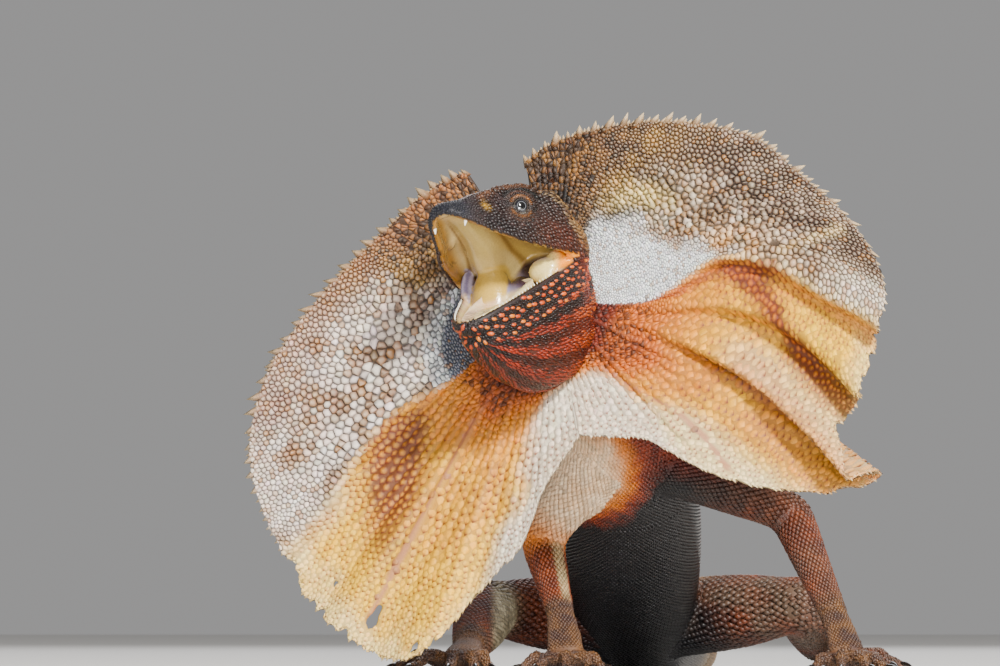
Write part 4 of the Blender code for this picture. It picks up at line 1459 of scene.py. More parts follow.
def head_tint(places: np.ndarray) -> np.ndarray:
    """The colours of the head's, jaw's and throat's scaly skin.

    Args:
        places: The points.

    Returns:
        A colour for each point.
    """
    h = in_head(places)
    j = in_jaw(places)
    x, y, z = np.abs(h[:, 0]), h[:, 1], h[:, 2]
    patch = NOISE.spread(places, 0.007)
    colour = mix("35241f", "1d1517", patch)
    colour = layered(
        colour,
        ("4a2419", 0.8 * step(0.028, 0.046, y) * step(0.01, 0.002, z)),
        ("2b1e19", step(0.01, 0.016, z) * step(0.012, 0.03, y)),
        ("15161f", step(0.014, 0.005, y)),
    )
    # Painted light: the top of the brow ridge is lightened.
    ridge = bump(z, BROW_LINE(y)[:, 1] + 0.0006, 0.0011) * step(0.01, 0.016, y) * step(0.0385, 0.035, y)
    colour = mix(colour, "5a3c2a", 0.8 * ridge)
    # Painted shadow: the near-black band under the brow stands for the shadow that the brow casts over the
    # eye.
    groove = bump(z, BROW_LINE(y)[:, 1] - 0.0019, 0.001) * step(0.0205, 0.0235, y) * step(0.0385, 0.035, y)
    colour = mix(colour, "060505", 0.97 * np.clip(1.8 * groove, 0, 1) * (x > 0.006))
    sided = either_side(h)
    rel = sided - np.array(EYE_CENTRE)
    out = rel @ np.array(EYE_FACING)
    flat = rel - out[:, None] * np.array(EYE_FACING)
    away = np.linalg.norm(flat, axis=1)
    arcs = step(0.1, 0.5, np.abs(flat[:, 2]) / np.maximum(away, 1e-6))
    lid = mix("1c1312", "7d5230", bump(away, 0.0037, 0.0005) * arcs * (0.45 + 0.55 * patch))
    lid = mix(lid, "432a1e", bump(away, 0.0053, 0.0003) * arcs)
    lid = mix(lid, "6f6a62", bump(away, 0.0026, 0.00012))
    colour = mix(colour, lid, (1 - step(0.0056, 0.0068, away)) * step(0.0, 0.001, out))
    shadow = bump(y, 0.0215, 0.0025) * bump(z, 0.0085, 0.0045) * step(0.008, 0.011, x)
    colour = mix(colour, "241a1c", 0.8 * shadow)
    for place, radius, code in (
        ((0.0108, 0.015, 0.0048), 0.0015, "f0c070"), ((0.015, 0.0215, 0.0046), 0.0008, "b06a3c")
    ):
        colour = mix(colour, code, np.exp(-np.sum((sided - place) ** 2, axis=1) / radius**2))
    nape = step(0.047, 0.054, y + 0.4 * np.maximum(z - 0.004, 0)) * step(-0.002, 0.006, z)
    colour = mix(colour, "6a4c30", nape)
    # Painted shade: the ear's hollow is painted near-black.
    ear = np.linalg.norm((sided - np.array(EAR)) / (0.003, 0.0042, 0.0042), axis=1)
    colour = mix(colour, "120d0d", 1 - step(0.8, 1.1, ear))
    on_jaw = step(0.001, -0.0006, j[:, 2]) * step(0.0, -0.002, h[:, 2])
    return mix(colour, jaw_tint(places, j), on_jaw)


def jaw_tint(places: np.ndarray, j: np.ndarray) -> np.ndarray:
    """The black skin of the jaw and throat between its red scales.

    Args:
        places: The points.
        j: The points in the jaw's frame.

    Returns:
        A colour for each point.
    """
    fine = NOISE.spread(places, 0.0035)
    back = step(0.03, 0.06, j[:, 1])
    low = step(-0.012, -0.022, j[:, 2])
    colour = mix("1b1110", "4a2013", low * (0.4 + 0.6 * fine))
    colour = mix(colour, "602a1a", 0.8 * low * back)
    return mix(colour, "84381c", step(0.05, 0.062, j[:, 1]) * step(0.3, 0.8, fine))


def trunk_tint(places: np.ndarray) -> np.ndarray:
    """The colours of the trunk and tail: banded brown above, black below, pale and orange at the chest.

    Args:
        places: The points.

    Returns:
        A colour for each point.
    """
    _, run, turn, _ = BODY.near("trunk", places)
    over = np.cos(turn)
    patch = NOISE.spread(places, 0.016)
    fine = NOISE.spread(places, 0.004)
    back = mix("77604b", "4c3b30", step(0.3, 0.8, patch))
    back = mix(back, "a08a70", 0.5 * step(0.65, 0.95, fine))
    band = step(0.1, 0.7, np.sin(run * 2 * math.pi / 0.03 + 2.0 * patch)) * step(0.1, 0.2, run)
    back = mix(back, "3a2c25", 0.65 * band)
    flank = mix("5a3a2a", "2c1f1b", fine)
    belly = mix("08070a", "121014", fine)
    tail_under = mix("b39a7a", "7d6550", patch)
    belly = mix(belly, tail_under, step(0.26, 0.34, run))
    colour = mix(belly, flank, step(-0.35, 0.1, over))
    colour = mix(colour, back, step(0.05, 0.45, over))
    p = places - np.array(SHIFT)
    front = step(0.098, 0.078, p[:, 1]) * step(0.15, -0.2, over)
    shoulder = np.linalg.norm((p - np.array((-0.006, 0.044, 0.073))) / (1.0, 1.4, 1.15), axis=1)
    chest = mix("ffe6c8", "eec39a", 0.5 * fine)
    chest = layered(
        chest,
        ("dc8a44", step(0.01, 0.019, shoulder + 0.002 * fine)),
        ("a24a20", step(0.018, 0.025, shoulder + 0.003 * fine)),
        ("141012", step(0.021, 0.03, shoulder + 0.004 * fine)),
    )
    upper = step(0.066, 0.078, p[:, 2] + 0.15 * (p[:, 0] - 0.015)) * step(0.006, 0.016, p[:, 0])
    chest = mix(chest, mix("5a2012", "8c4020", fine), 0.9 * upper)
    return mix(colour, chest, front)


def limb_tint(limb: Limb, places: np.ndarray) -> np.ndarray:
    """The colours of one limb, hand and foot among it.

    Args:
        limb: The limb.
        places: The points.

    Returns:
        A colour for each point.
    """
    _, run, turn, _ = BODY.near(limb, places)
    loft = BODY.limbs[limb]
    share = run / loft.length
    fine = NOISE.spread(places, 0.0035)
    patch = NOISE.spread(places, 0.009)
    brown = mix("7a4430", "4b2a22", fine)
    end = mix("6a4c34", "43302a", fine)
    if limb is Limb.ARM_RIGHT:
        pale = mix("ffe6c8", "eec39a", 0.5 * fine)
        colour = mix(pale, "df8f58", step(0.36, 0.56, share + 0.06 * patch))
        colour = mix(colour, mix("8c4a30", "5a2e22", fine), step(0.54, 0.68, share))
        inner = np.cos(turn - 1.2)
        colour = mix(colour, "b4a684", 0.7 * step(0.86, 0.98, inner) * step(0.56, 0.66, share))
    elif limb is Limb.ARM_LEFT:
        colour = mix(brown, "57483c", 0.6 * patch)
    elif limb is Limb.LEG_RIGHT:
        inner = np.clip((places[:, 0] - SHIFT.x + 0.0375) / 0.006, -1, 1)
        colour = mix(brown, mix("cfc5aa", "8c8068", fine), step(0.0, 0.6, inner) * step(0.45, 0.6, share))
    else:
        colour = mix(brown, "5b4a3e", patch)
    colour = mix(colour, end, step(0.9, 0.98, share))
    if limb is Limb.ARM_RIGHT:
        return colour
    return mix(trunk_tint(places), colour, step(0.08, 0.42, share + 0.1 * (patch - 0.5)))


def skin_markings(places: np.ndarray) -> tuple:
    """Colour and wetness for every point of the whole skin.

    Args:
        places: The skin's points.

    Returns:
        Colours, wetness, and the region of each point: 0 trunk, 1 to 4 the limbs, 5 head, 6 mouth.
    """
    depth = [BODY.near("trunk", places)[0]]
    for limb in Limb:
        depth.append(BODY.near(limb, places)[0] - 0.0005)
    region = np.argmin(np.stack(depth, axis=1), axis=1)
    h = in_head(places)
    j = in_jaw(places)
    skull = (h[:, 1] < 0.066) & (h[:, 2] > -0.004) & (np.abs(h[:, 0]) < 0.028)
    jaw = (j[:, 1] > 0.0) & (j[:, 1] < 0.0665) & (j[:, 2] > -0.043) & (j[:, 2] < 0.006)
    jaw &= np.abs(j[:, 0]) < 0.026
    between = (h[:, 1] < 0.064) & (h[:, 2] < 0.0) & (j[:, 2] > 0.0) & (h[:, 1] > 0)
    region = np.where(skull | jaw | between, 5, region)
    inside = head_inside(places) * (region == 5)
    colours = trunk_tint(places)
    for i, limb in enumerate(Limb, 1):
        chosen = region == i
        colours[chosen] = limb_tint(limb, places[chosen])
    chosen = region == 5
    colours[chosen] = mix(head_tint(places[chosen]), mouth_tint(places[chosen]), inside[chosen])
    wet = np.where(inside > 0.5, 0.9, 0.05)
    return colours, wet, np.where(inside > 0.5, 6, region)


# ----- The frill.

FRILL_CUP = 0.006
ROOT_RADIUS = Curve(((10, 0.012), (60, 0.0135), (100, 0.015), (140, 0.019), (180, 0.0225)))
FOLD_START = 0.12


def polar(radius: np.ndarray, turn: np.ndarray) -> np.ndarray:
    """Unrolled points at radii and turns."""
    return np.stack([radius * np.sin(turn), radius * np.cos(turn)], axis=-1)


def fold_growth(along: np.ndarray) -> np.ndarray:
    """How far the folds have grown on the way out, 0 to 1."""
    return np.maximum(0.0, (along - FOLD_START) / (1 - FOLD_START)) ** 1.2


@dataclass
class Lobe:
    """One side of the frill: radii of its rim by angle, its folds, how its ribs bow, and where ribs are."""

    name: str
    side: int
    rim_rows: tuple
    fold_rows: tuple
    bow_rows: tuple
    ribs: tuple
    rib_rows: tuple
    drift: float = 0.0
    tears: tuple = ()
    half_thickness: float = 0.00045

    def __post_init__(self) -> None:
        """Makes the curves through the rows."""
        self.rim, self.folds, self.bow = Curve(self.rim_rows), Curve(self.fold_rows), Curve(self.bow_rows)
        self.main_rib = Curve(self.rib_rows)
        self.first = self.rim_rows[0][0]

    def flat(self, angle: np.ndarray, along: np.ndarray) -> np.ndarray:
        """Where a point lies when the lobe is unrolled, in metres."""
        return polar(self.radius_at(angle, along), np.radians(angle))

    def radius_at(self, angle: np.ndarray, along: np.ndarray) -> np.ndarray:
        """How far from the frill's middle points lie when the lobe is unrolled."""
        root = ROOT_RADIUS(angle)
        return root + (self.rim(angle) - root) * along

    def along_at(self, angle: np.ndarray, radius: np.ndarray) -> np.ndarray:
        """The share from root to rim at a radius."""
        root = ROOT_RADIUS(angle)
        return (radius - root) / (self.rim(angle) - root)

    def held(self, angle: np.ndarray) -> np.ndarray:
        """Angles held within the lobe."""
        return np.clip(angle, self.first, 180)

    def unflat(self, flat: np.ndarray) -> tuple:
        """Angle and share from root to rim of unrolled points.

        Args:
            flat: Unrolled points.

        Returns:
            Angles in degrees, and shares from root to rim.
        """
        angle = np.degrees(np.arctan2(flat[..., 0], flat[..., 1]))
        angle = np.where(angle < -90, angle + 360, angle)
        return angle, self.along_at(angle, np.linalg.norm(flat, axis=-1))

    def point(self, angle: np.ndarray, along: np.ndarray) -> np.ndarray:
        """A point of the middle surface.

        Args:
            angle: Where points are round the lobe, in degrees.
            along: Where they are from root to rim, 0 to 1.

        Returns:
            The points.
        """
        angle, along = np.broadcast_arrays(np.asarray(angle, float), np.asarray(along, float))
        folds, grown = self.folds(self.fold_angle(angle, along)), fold_growth(along)
        turn = np.radians(angle + self.bow(angle) * np.sin(math.pi * along) + folds[..., 0] * grown)
        radius = self.radius_at(angle, along)
        forward = FRILL_CUP * along**2 + folds[..., 1] * grown + self.wrinkle(angle, along)
        local = np.stack([self.side * radius * np.sin(turn), -forward, radius * np.cos(turn)], axis=-1)
        return moved(local.reshape(-1, 3), FRILL_FRAME).reshape(local.shape)

    def fold_angle(self, angle: np.ndarray, along: np.ndarray) -> np.ndarray:
        """The angle in the folds' rows, which run aslant from root to rim."""
        shift = (115 - self.main_rib(along)) * bump(angle, 115, 8)
        return angle + shift + self.drift * np.maximum(1 - along, 0) ** 1.5 * step(120, 127, angle)

    def wrinkle(self, angle: np.ndarray, along: np.ndarray) -> np.ndarray:
        """The rods under the skin and the small creases between them.

        Args:
            angle: Where points are round the lobe, in degrees.
            along: Where they are from root to rim, 0 to 1.

        Returns:
            How far forward the skin is pushed.
        """
        lift = np.zeros_like(angle)
        for rib in self.ribs:
            lift = lift + 0.0008 * bump(angle, rib, 0.9) * (1 - along**3)
        crease = np.sin(angle * 2.1 + 4 * NOISE(np.stack([angle / 30, along * 3], -1), 1.0)) * 0.00035
        return lift + crease * step(0.05, 0.3, along) * (1 - 0.5 * step(0.6, 1.0, along))

    def face(self, angle: np.ndarray, along: np.ndarray) -> tuple:
        """Points of the middle surface, its normals towards the front, and its directions round and out.

        Args:
            angle: Where points are round the lobe, in degrees.
            along: Where they are from root to rim, 0 to 1.

        Returns:
            The four of them, each with a row for each point.
        """
        here = self.point(angle, along)
        round_it = unit(self.point(angle + 0.25, along) - self.point(angle - 0.25, along))
        out = unit(self.point(angle, along + 0.008) - self.point(angle, along - 0.008))
        normal = unit(np.cross(round_it, out))
        ahead = turned_by(np.array([[0.0, -1.0, 0.0]]), FRILL_FRAME)[0]
        normal = np.where((normal @ ahead)[..., None] < 0, -normal, normal)
        return here, normal, round_it, out

    def clipped(self, rings: np.ndarray) -> np.ndarray:
        """Cell outlines held within the lobe's rim and middle line.

        Args:
            rings: Outlines of cells, unrolled.

        Returns:
            The outlines.
        """
        angle, along = self.unflat(rings)
        inside = self.held(angle)
        radius = self.radius_at(inside, np.clip(along, -0.1, 1.0 - self.ragged(inside)))
        return polar(radius, np.radians(inside))

    def ragged(self, angle: np.ndarray) -> np.ndarray:
        """How much of the way out the worn rim lacks.

        Args:
            angle: Where points are round the lobe, in degrees.

        Returns:
            A share of the way from root to rim.
        """
        pair = np.stack([angle, np.full_like(angle, self.side)], axis=-1)
        low = step(112, 120, angle)
        fine = NOISE(pair.reshape(-1, 2), 0.55).reshape(angle.shape)
        bites = step(0.68, 0.8, NOISE(pair.reshape(-1, 2) + 9, 1.3).reshape(angle.shape))
        return (0.004 + 0.014 * low) * fine + 0.016 * low * bites

    def bare_rib(self, angle: np.ndarray, along: np.ndarray, wide: float = 0.5) -> np.ndarray:
        """How surely a point lies on the thin rib that no scales cover, 0 to 1.

        Args:
            angle: Where points are round the lobe, in degrees.
            along: Where they are from root to rim, 0 to 1.
            wide: The rib's half width, in degrees.

        Returns:
            A share for each point.
        """
        middle = 134 + 1.5 * (along - 0.6) if self.side < 0 else VENTRAL_RIB(along)
        wide = wide * 0.62 / (0.25 + along)
        ends = step(0.2, 0.26, along) * step(0.94, 0.9, along)
        return step(wide * 1.3, wide * 0.9, np.abs(angle - middle)) * ends

    def torn(self, angle: np.ndarray, along: np.ndarray) -> np.ndarray:
        """Whether a point lies in a hole or notch.

        Args:
            angle: Where points are round the lobe, in degrees.
            along: Where they are from root to rim, 0 to 1.

        Returns:
            True or false for each point.
        """
        flat = self.flat(angle, along)
        found = np.zeros(angle.shape, bool)
        for at_angle, at_along, width, length in self.tears:
            centre = self.flat(np.array(float(at_angle)), np.array(at_along))
            out = unit(centre[None])[0]
            offset = flat - centre
            along_out = offset @ out
            across = offset @ np.array([out[1], -out[0]])
            found |= (along_out / (length / 2 + 0.0004)) ** 2 + (across / (width / 2 + 0.0004)) ** 2 < 1
        return found


RIM_LEFT = (
    (10, 0.0445), (20, 0.0493), (35, 0.0555), (50, 0.065), (64, 0.077), (76, 0.09), (88, 0.099),
    (98, 0.1105), (107, 0.1213), (115, 0.1268), (121, 0.1235), (127, 0.1245), (130, 0.12), (134, 0.121),
    (138, 0.136), (141, 0.1375), (146, 0.119), (153, 0.096), (160, 0.069), (170, 0.059), (180, 0.0535),
)
RIM_RIGHT = (
    (15, 0.05), (22, 0.052), (35, 0.0552), (50, 0.0605), (64, 0.071), (76, 0.0855), (88, 0.1035),
    (100, 0.1165), (115, 0.123), (122, 0.13), (130, 0.1332), (137, 0.135), (145, 0.131), (150, 0.11),
    (155, 0.097), (160, 0.09), (165, 0.071), (172, 0.061), (180, 0.0535),
)
LOBES = (
    Lobe(
        "left", 1, RIM_LEFT,
        (
            (10, 0, 0.0), (60, 0, 0.002), (95, 0, 0.0), (108, 0, 0.004), (113, 0, 0.008), (115.5, 0.6, 0.01),
            (118, -0.8, 0.001), (122, 0, 0.002), (127, 1.5, 0.006), (129.5, -1.5, -0.008), (134, 0, -0.001),
            (138, 2.2, 0.009), (139.6, -2.6, -0.007), (145, 0, -0.002), (150, 0, 0.0), (153, 0, 0.003),
            (160, 0, 0.0), (180, 0, 0.0),
        ),
        ((10, 0), (80, -2), (100, -8), (115, -11.5), (130, -7), (141, -2), (153, 0), (180, 0)),
        (138, 153),
        ((0.1, 122), (0.2, 121), (0.38, 112.5), (0.46, 112), (0.6, 115.5), (0.8, 118.5), (1.0, 116.5)),
        8.0,
    ),
    Lobe(
        "right", -1, RIM_RIGHT,
        (
            (10, 0, 0.0), (60, 0, 0.002), (100, 0, 0.001), (112, 0, 0.006), (115, 0.6, 0.0075),
            (117.5, -0.6, 0.0005), (122, 0, -0.001), (127, 0, -0.001), (130, 0, 0.003), (134, 0, 0.001),
            (137, 0, -0.002), (145, 0, 0.003), (150, 0, -0.003), (155, 0, -0.001), (160, 0, 0.001),
            (180, 0, 0.0),
        ),
        ((10, 0), (180, 0)),
        (134, 146),
        ((0.15, 114), (0.23, 114), (0.43, 109), (0.58, 111), (0.78, 115.5), (1.0, 117)),
        0.0,
        (
            (135, 0.9, 0.0034, 0.0092), (144, 0.955, 0.0034, 0.0044), (146.5, 1.0, 0.0022, 0.008),
            (119, 1.0, 0.0036, 0.0036), (126, 0.9, 0.0014, 0.0022),
        ),
    ),
)


def patch(
    angle: np.ndarray, along: np.ndarray, at: float, out: float, wide: float, deep: float
) -> np.ndarray:
    """A soft round patch on a lobe, at points round and along it, about a middle and with two widths."""
    return bump(angle, at, wide) * bump(along, out, deep)


VALLEY = Curve(((0.42, 114), (0.55, 120.5), (0.62, 123.5), (0.7, 128), (0.87, 131), (0.98, 131.5)))
VENTRAL_RIB = Curve(((0.2, 161), (0.35, 155), (0.5, 150), (0.65, 149.5), (0.93, 151), (1.0, 151)))


def duller(colours: np.ndarray) -> np.ndarray:
    """The greyer brown that the frill's back tends to."""
    return colours.mean(axis=-1, keepdims=True) * tone("a08e7c") * 1.5


def upper_tint(
    lobe: Lobe, angle: np.ndarray, along: np.ndarray, wide: np.ndarray, fine: np.ndarray
) -> np.ndarray:
    """The frill above its main rib: brown by the head, tan, then grey scales with pale tops.

    Args:
        lobe: The lobe.
        angle: Where points are round the lobe, in degrees.
        along: Where they are from root to rim, 0 to 1.
        wide: Noise in wide blotches.
        fine: Noise in small blotches.

    Returns:
        A colour for each point.
    """
    brown = mix("745436", "40291a", fine)
    if lobe.side < 0:
        grey = mix("d8c9bd", "94745c", step(0.45, 1.0, wide))
        # Painted highlights: the palest flecks among the grey scales.
        grey = mix(grey, "efe7e0", 0.8 * step(0.45, 0.85, fine))
    else:
        grey = mix("b39c84", "7a5f48", wide)
        # Painted highlights: the palest flecks among the grey scales.
        grey = mix(grey, "ddd2c2", 0.7 * step(0.55, 0.9, fine))
    tan = mix("a07c4c", "60452a", fine)
    colour = mix(brown, tan, step(46, 60, angle + 8 * (wide - 0.5)))
    colour = mix(colour, grey, step(60, 80, angle + 12 * (wide - 0.5)))
    colour = mix(colour, "2c1b10", 0.7 * step(0.5, 0.15, along) * step(56, 30, angle))
    if lobe.side < 0:
        colour = mix(colour, "8c6044", 0.7 * step(0.7, 0.95, along) * step(106, 84, angle))
        brown = 0.75 * patch(angle, along, 93, 0.88, 3.5, 0.18) * step(0.2, 0.6, fine)
        colour = mix(colour, "7a4526", brown)
        # Painted shade: the dark band past the white strip stands for the shade in the crease of the folded
        # root.
        dark = bump(along, 0.385, 0.05) * step(60, 68, angle) * step(92, 80, angle)
        colour = mix(colour, "3e2a20", 0.75 * dark)
        white = step(0.34, 0.3, along + 0.03 * (wide - 0.5)) * step(56, 66, angle)
        colour = mix(colour, "e2e6e8", white)
        # Painted shade: the white patch by the root is painted blue-grey, as it looks in shadow.
        smooth = step(0.262, 0.245, along) * step(58, 66, angle)
        return mix(colour, mix("6f7787", "565e70", fine), smooth)
    colour = mix(colour, "ecd49a", 0.85 * patch(angle, along, 67, 0.46, 11, 0.12))
    edge = bump(along, 0.63 - 0.004 * (angle - 62), 0.02) * bump(angle, 66, 13)
    colour = mix(colour, "301f14", 0.75 * edge)
    outer = step(0.58, 0.8, along + 0.14 * (wide - 0.5)) * step(116, 106, angle) * step(56, 74, angle)
    colour = mix(colour, mix("463228", "8e7868", step(0.55, 0.95, fine)), 0.85 * outer)
    streak = bump(angle - 40 * along, 52, 9) * step(0.08, 0.16, along) * step(0.52, 0.36, along)
    colour = mix(colour, "2c2522", 0.85 * streak)
    ochre = patch(angle, along, 108, 0.5, 9, 0.13) * step(0.35, 0.75, fine)
    colour = mix(colour, "c88c3c", 0.75 * ochre)
    crease = bump(angle, 113 - (along - 0.63) * 37, 1.1) * step(0.6, 0.66, along) * step(0.97, 0.92, along)
    colour = mix(colour, "d9bf96", 0.85 * crease)
    pale = step(0.74, 0.9, along) * step(109, 115, angle)
    colour = mix(colour, "e2d6c8", 0.7 * pale)
    reach = along - 0.005 * np.maximum(angle - 90, 0) + 0.08 * (wide - 0.5) + 0.05 * (fine - 0.5)
    white = step(0.4, 0.26, reach) * step(48, 64, angle + 10 * (fine - 0.5))
    colour = mix(colour, "f0f4f6", white)
    # Painted shade: a near-black patch stands for the shade in the scoop by the ear.
    scoop = np.clip(1.5 * bump(angle, 28, 7) * bump(along, 0.48, 0.1), 0, 1)
    return mix(colour, "0e0908", 0.95 * scoop)


def blotches(lobe: Lobe, angle: np.ndarray, along: np.ndarray) -> np.ndarray:
    """Brown blotches below the main rib, and painted shade along the left lobe's fold valley, 0 to 1.

    Args:
        lobe: The lobe.
        angle: Where points are round the lobe, in degrees.
        along: Where they are from root to rim, 0 to 1.

    Returns:
        A share for each point.
    """
    if lobe.side < 0:
        spots = patch(angle, along, 117, 0.5, 7, 0.11) + patch(angle, along, 124, 0.58, 6, 0.08)
        return np.clip(1.25 * spots + 0.5 * patch(angle, along, 129, 0.7, 4, 0.06), 0, 1)
    # Painted shade: a brown band down the left lobe's fold valley, with a brown patch by the main rib.
    spots = bump(angle, VALLEY(along), 2.2) * step(0.4, 0.48, along) * (1.0 - 0.45 * step(0.75, 1.0, along))
    return np.clip(spots + 0.8 * patch(angle, along, 117, 0.55, 2.2, 0.1), 0, 1)


def lower_tint(
    lobe: Lobe, angle: np.ndarray, along: np.ndarray, wide: np.ndarray, fine: np.ndarray
) -> np.ndarray:
    """The frill below its main rib: dark red at the root, orange, golden, and cream at the rim.

    Args:
        lobe: The lobe.
        angle: Where points are round the lobe, in degrees.
        along: Where they are from root to rim, 0 to 1.
        wide: Noise in wide blotches.
        fine: Noise in small blotches.

    Returns:
        A colour for each point.
    """
    out = along + 0.1 * (wide - 0.5) + (0.03 if lobe.side < 0 else 0.0)
    root = (0.1, 0.26) if lobe.side < 0 else (0.07, 0.2)
    colour = mix("6a2c16", "b8681a", step(*root, out))
    colour = layered(
        colour,
        ("cc8a24", step(0.18, 0.33, out)),
        ("e2ab2e", step(0.34, 0.54, out)),
        ("e8ba56", step(0.58, 0.84, out)),
        ("eed49a", step(0.84, 1.06, out + 0.05 * (fine - 0.5))),
    )
    centre = step(152, 164, angle + 8 * (wide - 0.5)) * step(0.24, 0.38, along)
    cream = mix("efe4d2", "dcc4aa", 0.5 * wide)
    if lobe.side < 0:
        colour = layered(
            colour,
            ("ece0cc", 0.7 * step(121, 115, angle) * step(0.66, 0.82, along)),
            ("c58a30", 0.7 * patch(angle, along, 147, 0.42, 6, 0.18)),
            (cream, step(0.66, 0.86, along) * step(150, 156, angle)),
        )
    else:
        folded = lobe.fold_angle(angle, along)
        # Painted light and shade at the folds: the cream up to the pleat's lip is partly its own colour and
        # partly painted highlight, and the two browns are painted shade under the pleat's lip and under the
        # main rib.
        colour = layered(
            colour,
            ("efe0bc", 0.6 * step(0.44, 0.62, along) * bump(folded, 136, 3.0)),
            ("94501c", 0.8 * bump(folded, 140.3, 1.2) * step(0.25, 0.4, along)),
            ("8a3c12", 0.7 * bump(folded, 118.5, 1.6) * step(0.66, 0.5, along)),
        )
        # Painted shade: brown on the slopes of the folds that face away from the light.
        slope = bump(folded, 118.5, 2.2) * step(0.58, 0.74, along)
        slope += bump(folded, 137.5, 2.4) * step(0.45, 0.6, along)
        slope += bump(folded, 143.5, 3.0) * step(0.48, 0.64, along)
        colour = layered(
            colour,
            ("c27c50", 0.65 * np.clip(slope, 0, 1)),
            ("f0dfb6", 0.8 * step(144, 150, angle) * step(0.42, 0.6, along)),
            (cream, step(153, 160, angle) * step(0.3, 0.5, along)),
        )
    # The brown of the blotches, which on the left lobe is painted shade along the fold valley.
    net = mix("c8741c", "7a3a14", step(0.5, 0.85, fine))
    colour = mix(colour, net, (0.35 if lobe.side < 0 else 0.8) * blotches(lobe, angle, along))
    colour = mix(colour, cream, centre)
    return mix(colour, "9c6a58", 0.85 * lobe.bare_rib(angle, along, 0.7))


def frill_tint(lobe: Lobe, angle: np.ndarray, along: np.ndarray) -> np.ndarray:
    """The frill's colours.

    Args:
        lobe: The lobe.
        angle: Where points are round the lobe, in degrees.
        along: Where they are from root to rim, 0 to 1.

    Returns:
        A colour for each point.
    """
    flat = lobe.flat(angle, along)
    wide = NOISE.spread(flat + lobe.side, 0.011)
    fine = NOISE.spread(flat + 5 + lobe.side, 0.0042)
    below = below_rib(lobe, angle, along)
    upper, lower = (part(lobe, angle, along, wide, fine) for part in (upper_tint, lower_tint))
    colour = mix(upper, lower, below)
    seam = bump(angle, lobe.main_rib(along), 0.9) * step(0.22, 0.32, along)
    return mix(colour, "d8c3a0", 0.55 * seam)


def below_rib(lobe: Lobe, angle: np.ndarray, along: np.ndarray) -> np.ndarray:
    """How surely a point lies below the lobe's main rib."""
    return step(-0.8, 0.8, angle - lobe.main_rib(along))


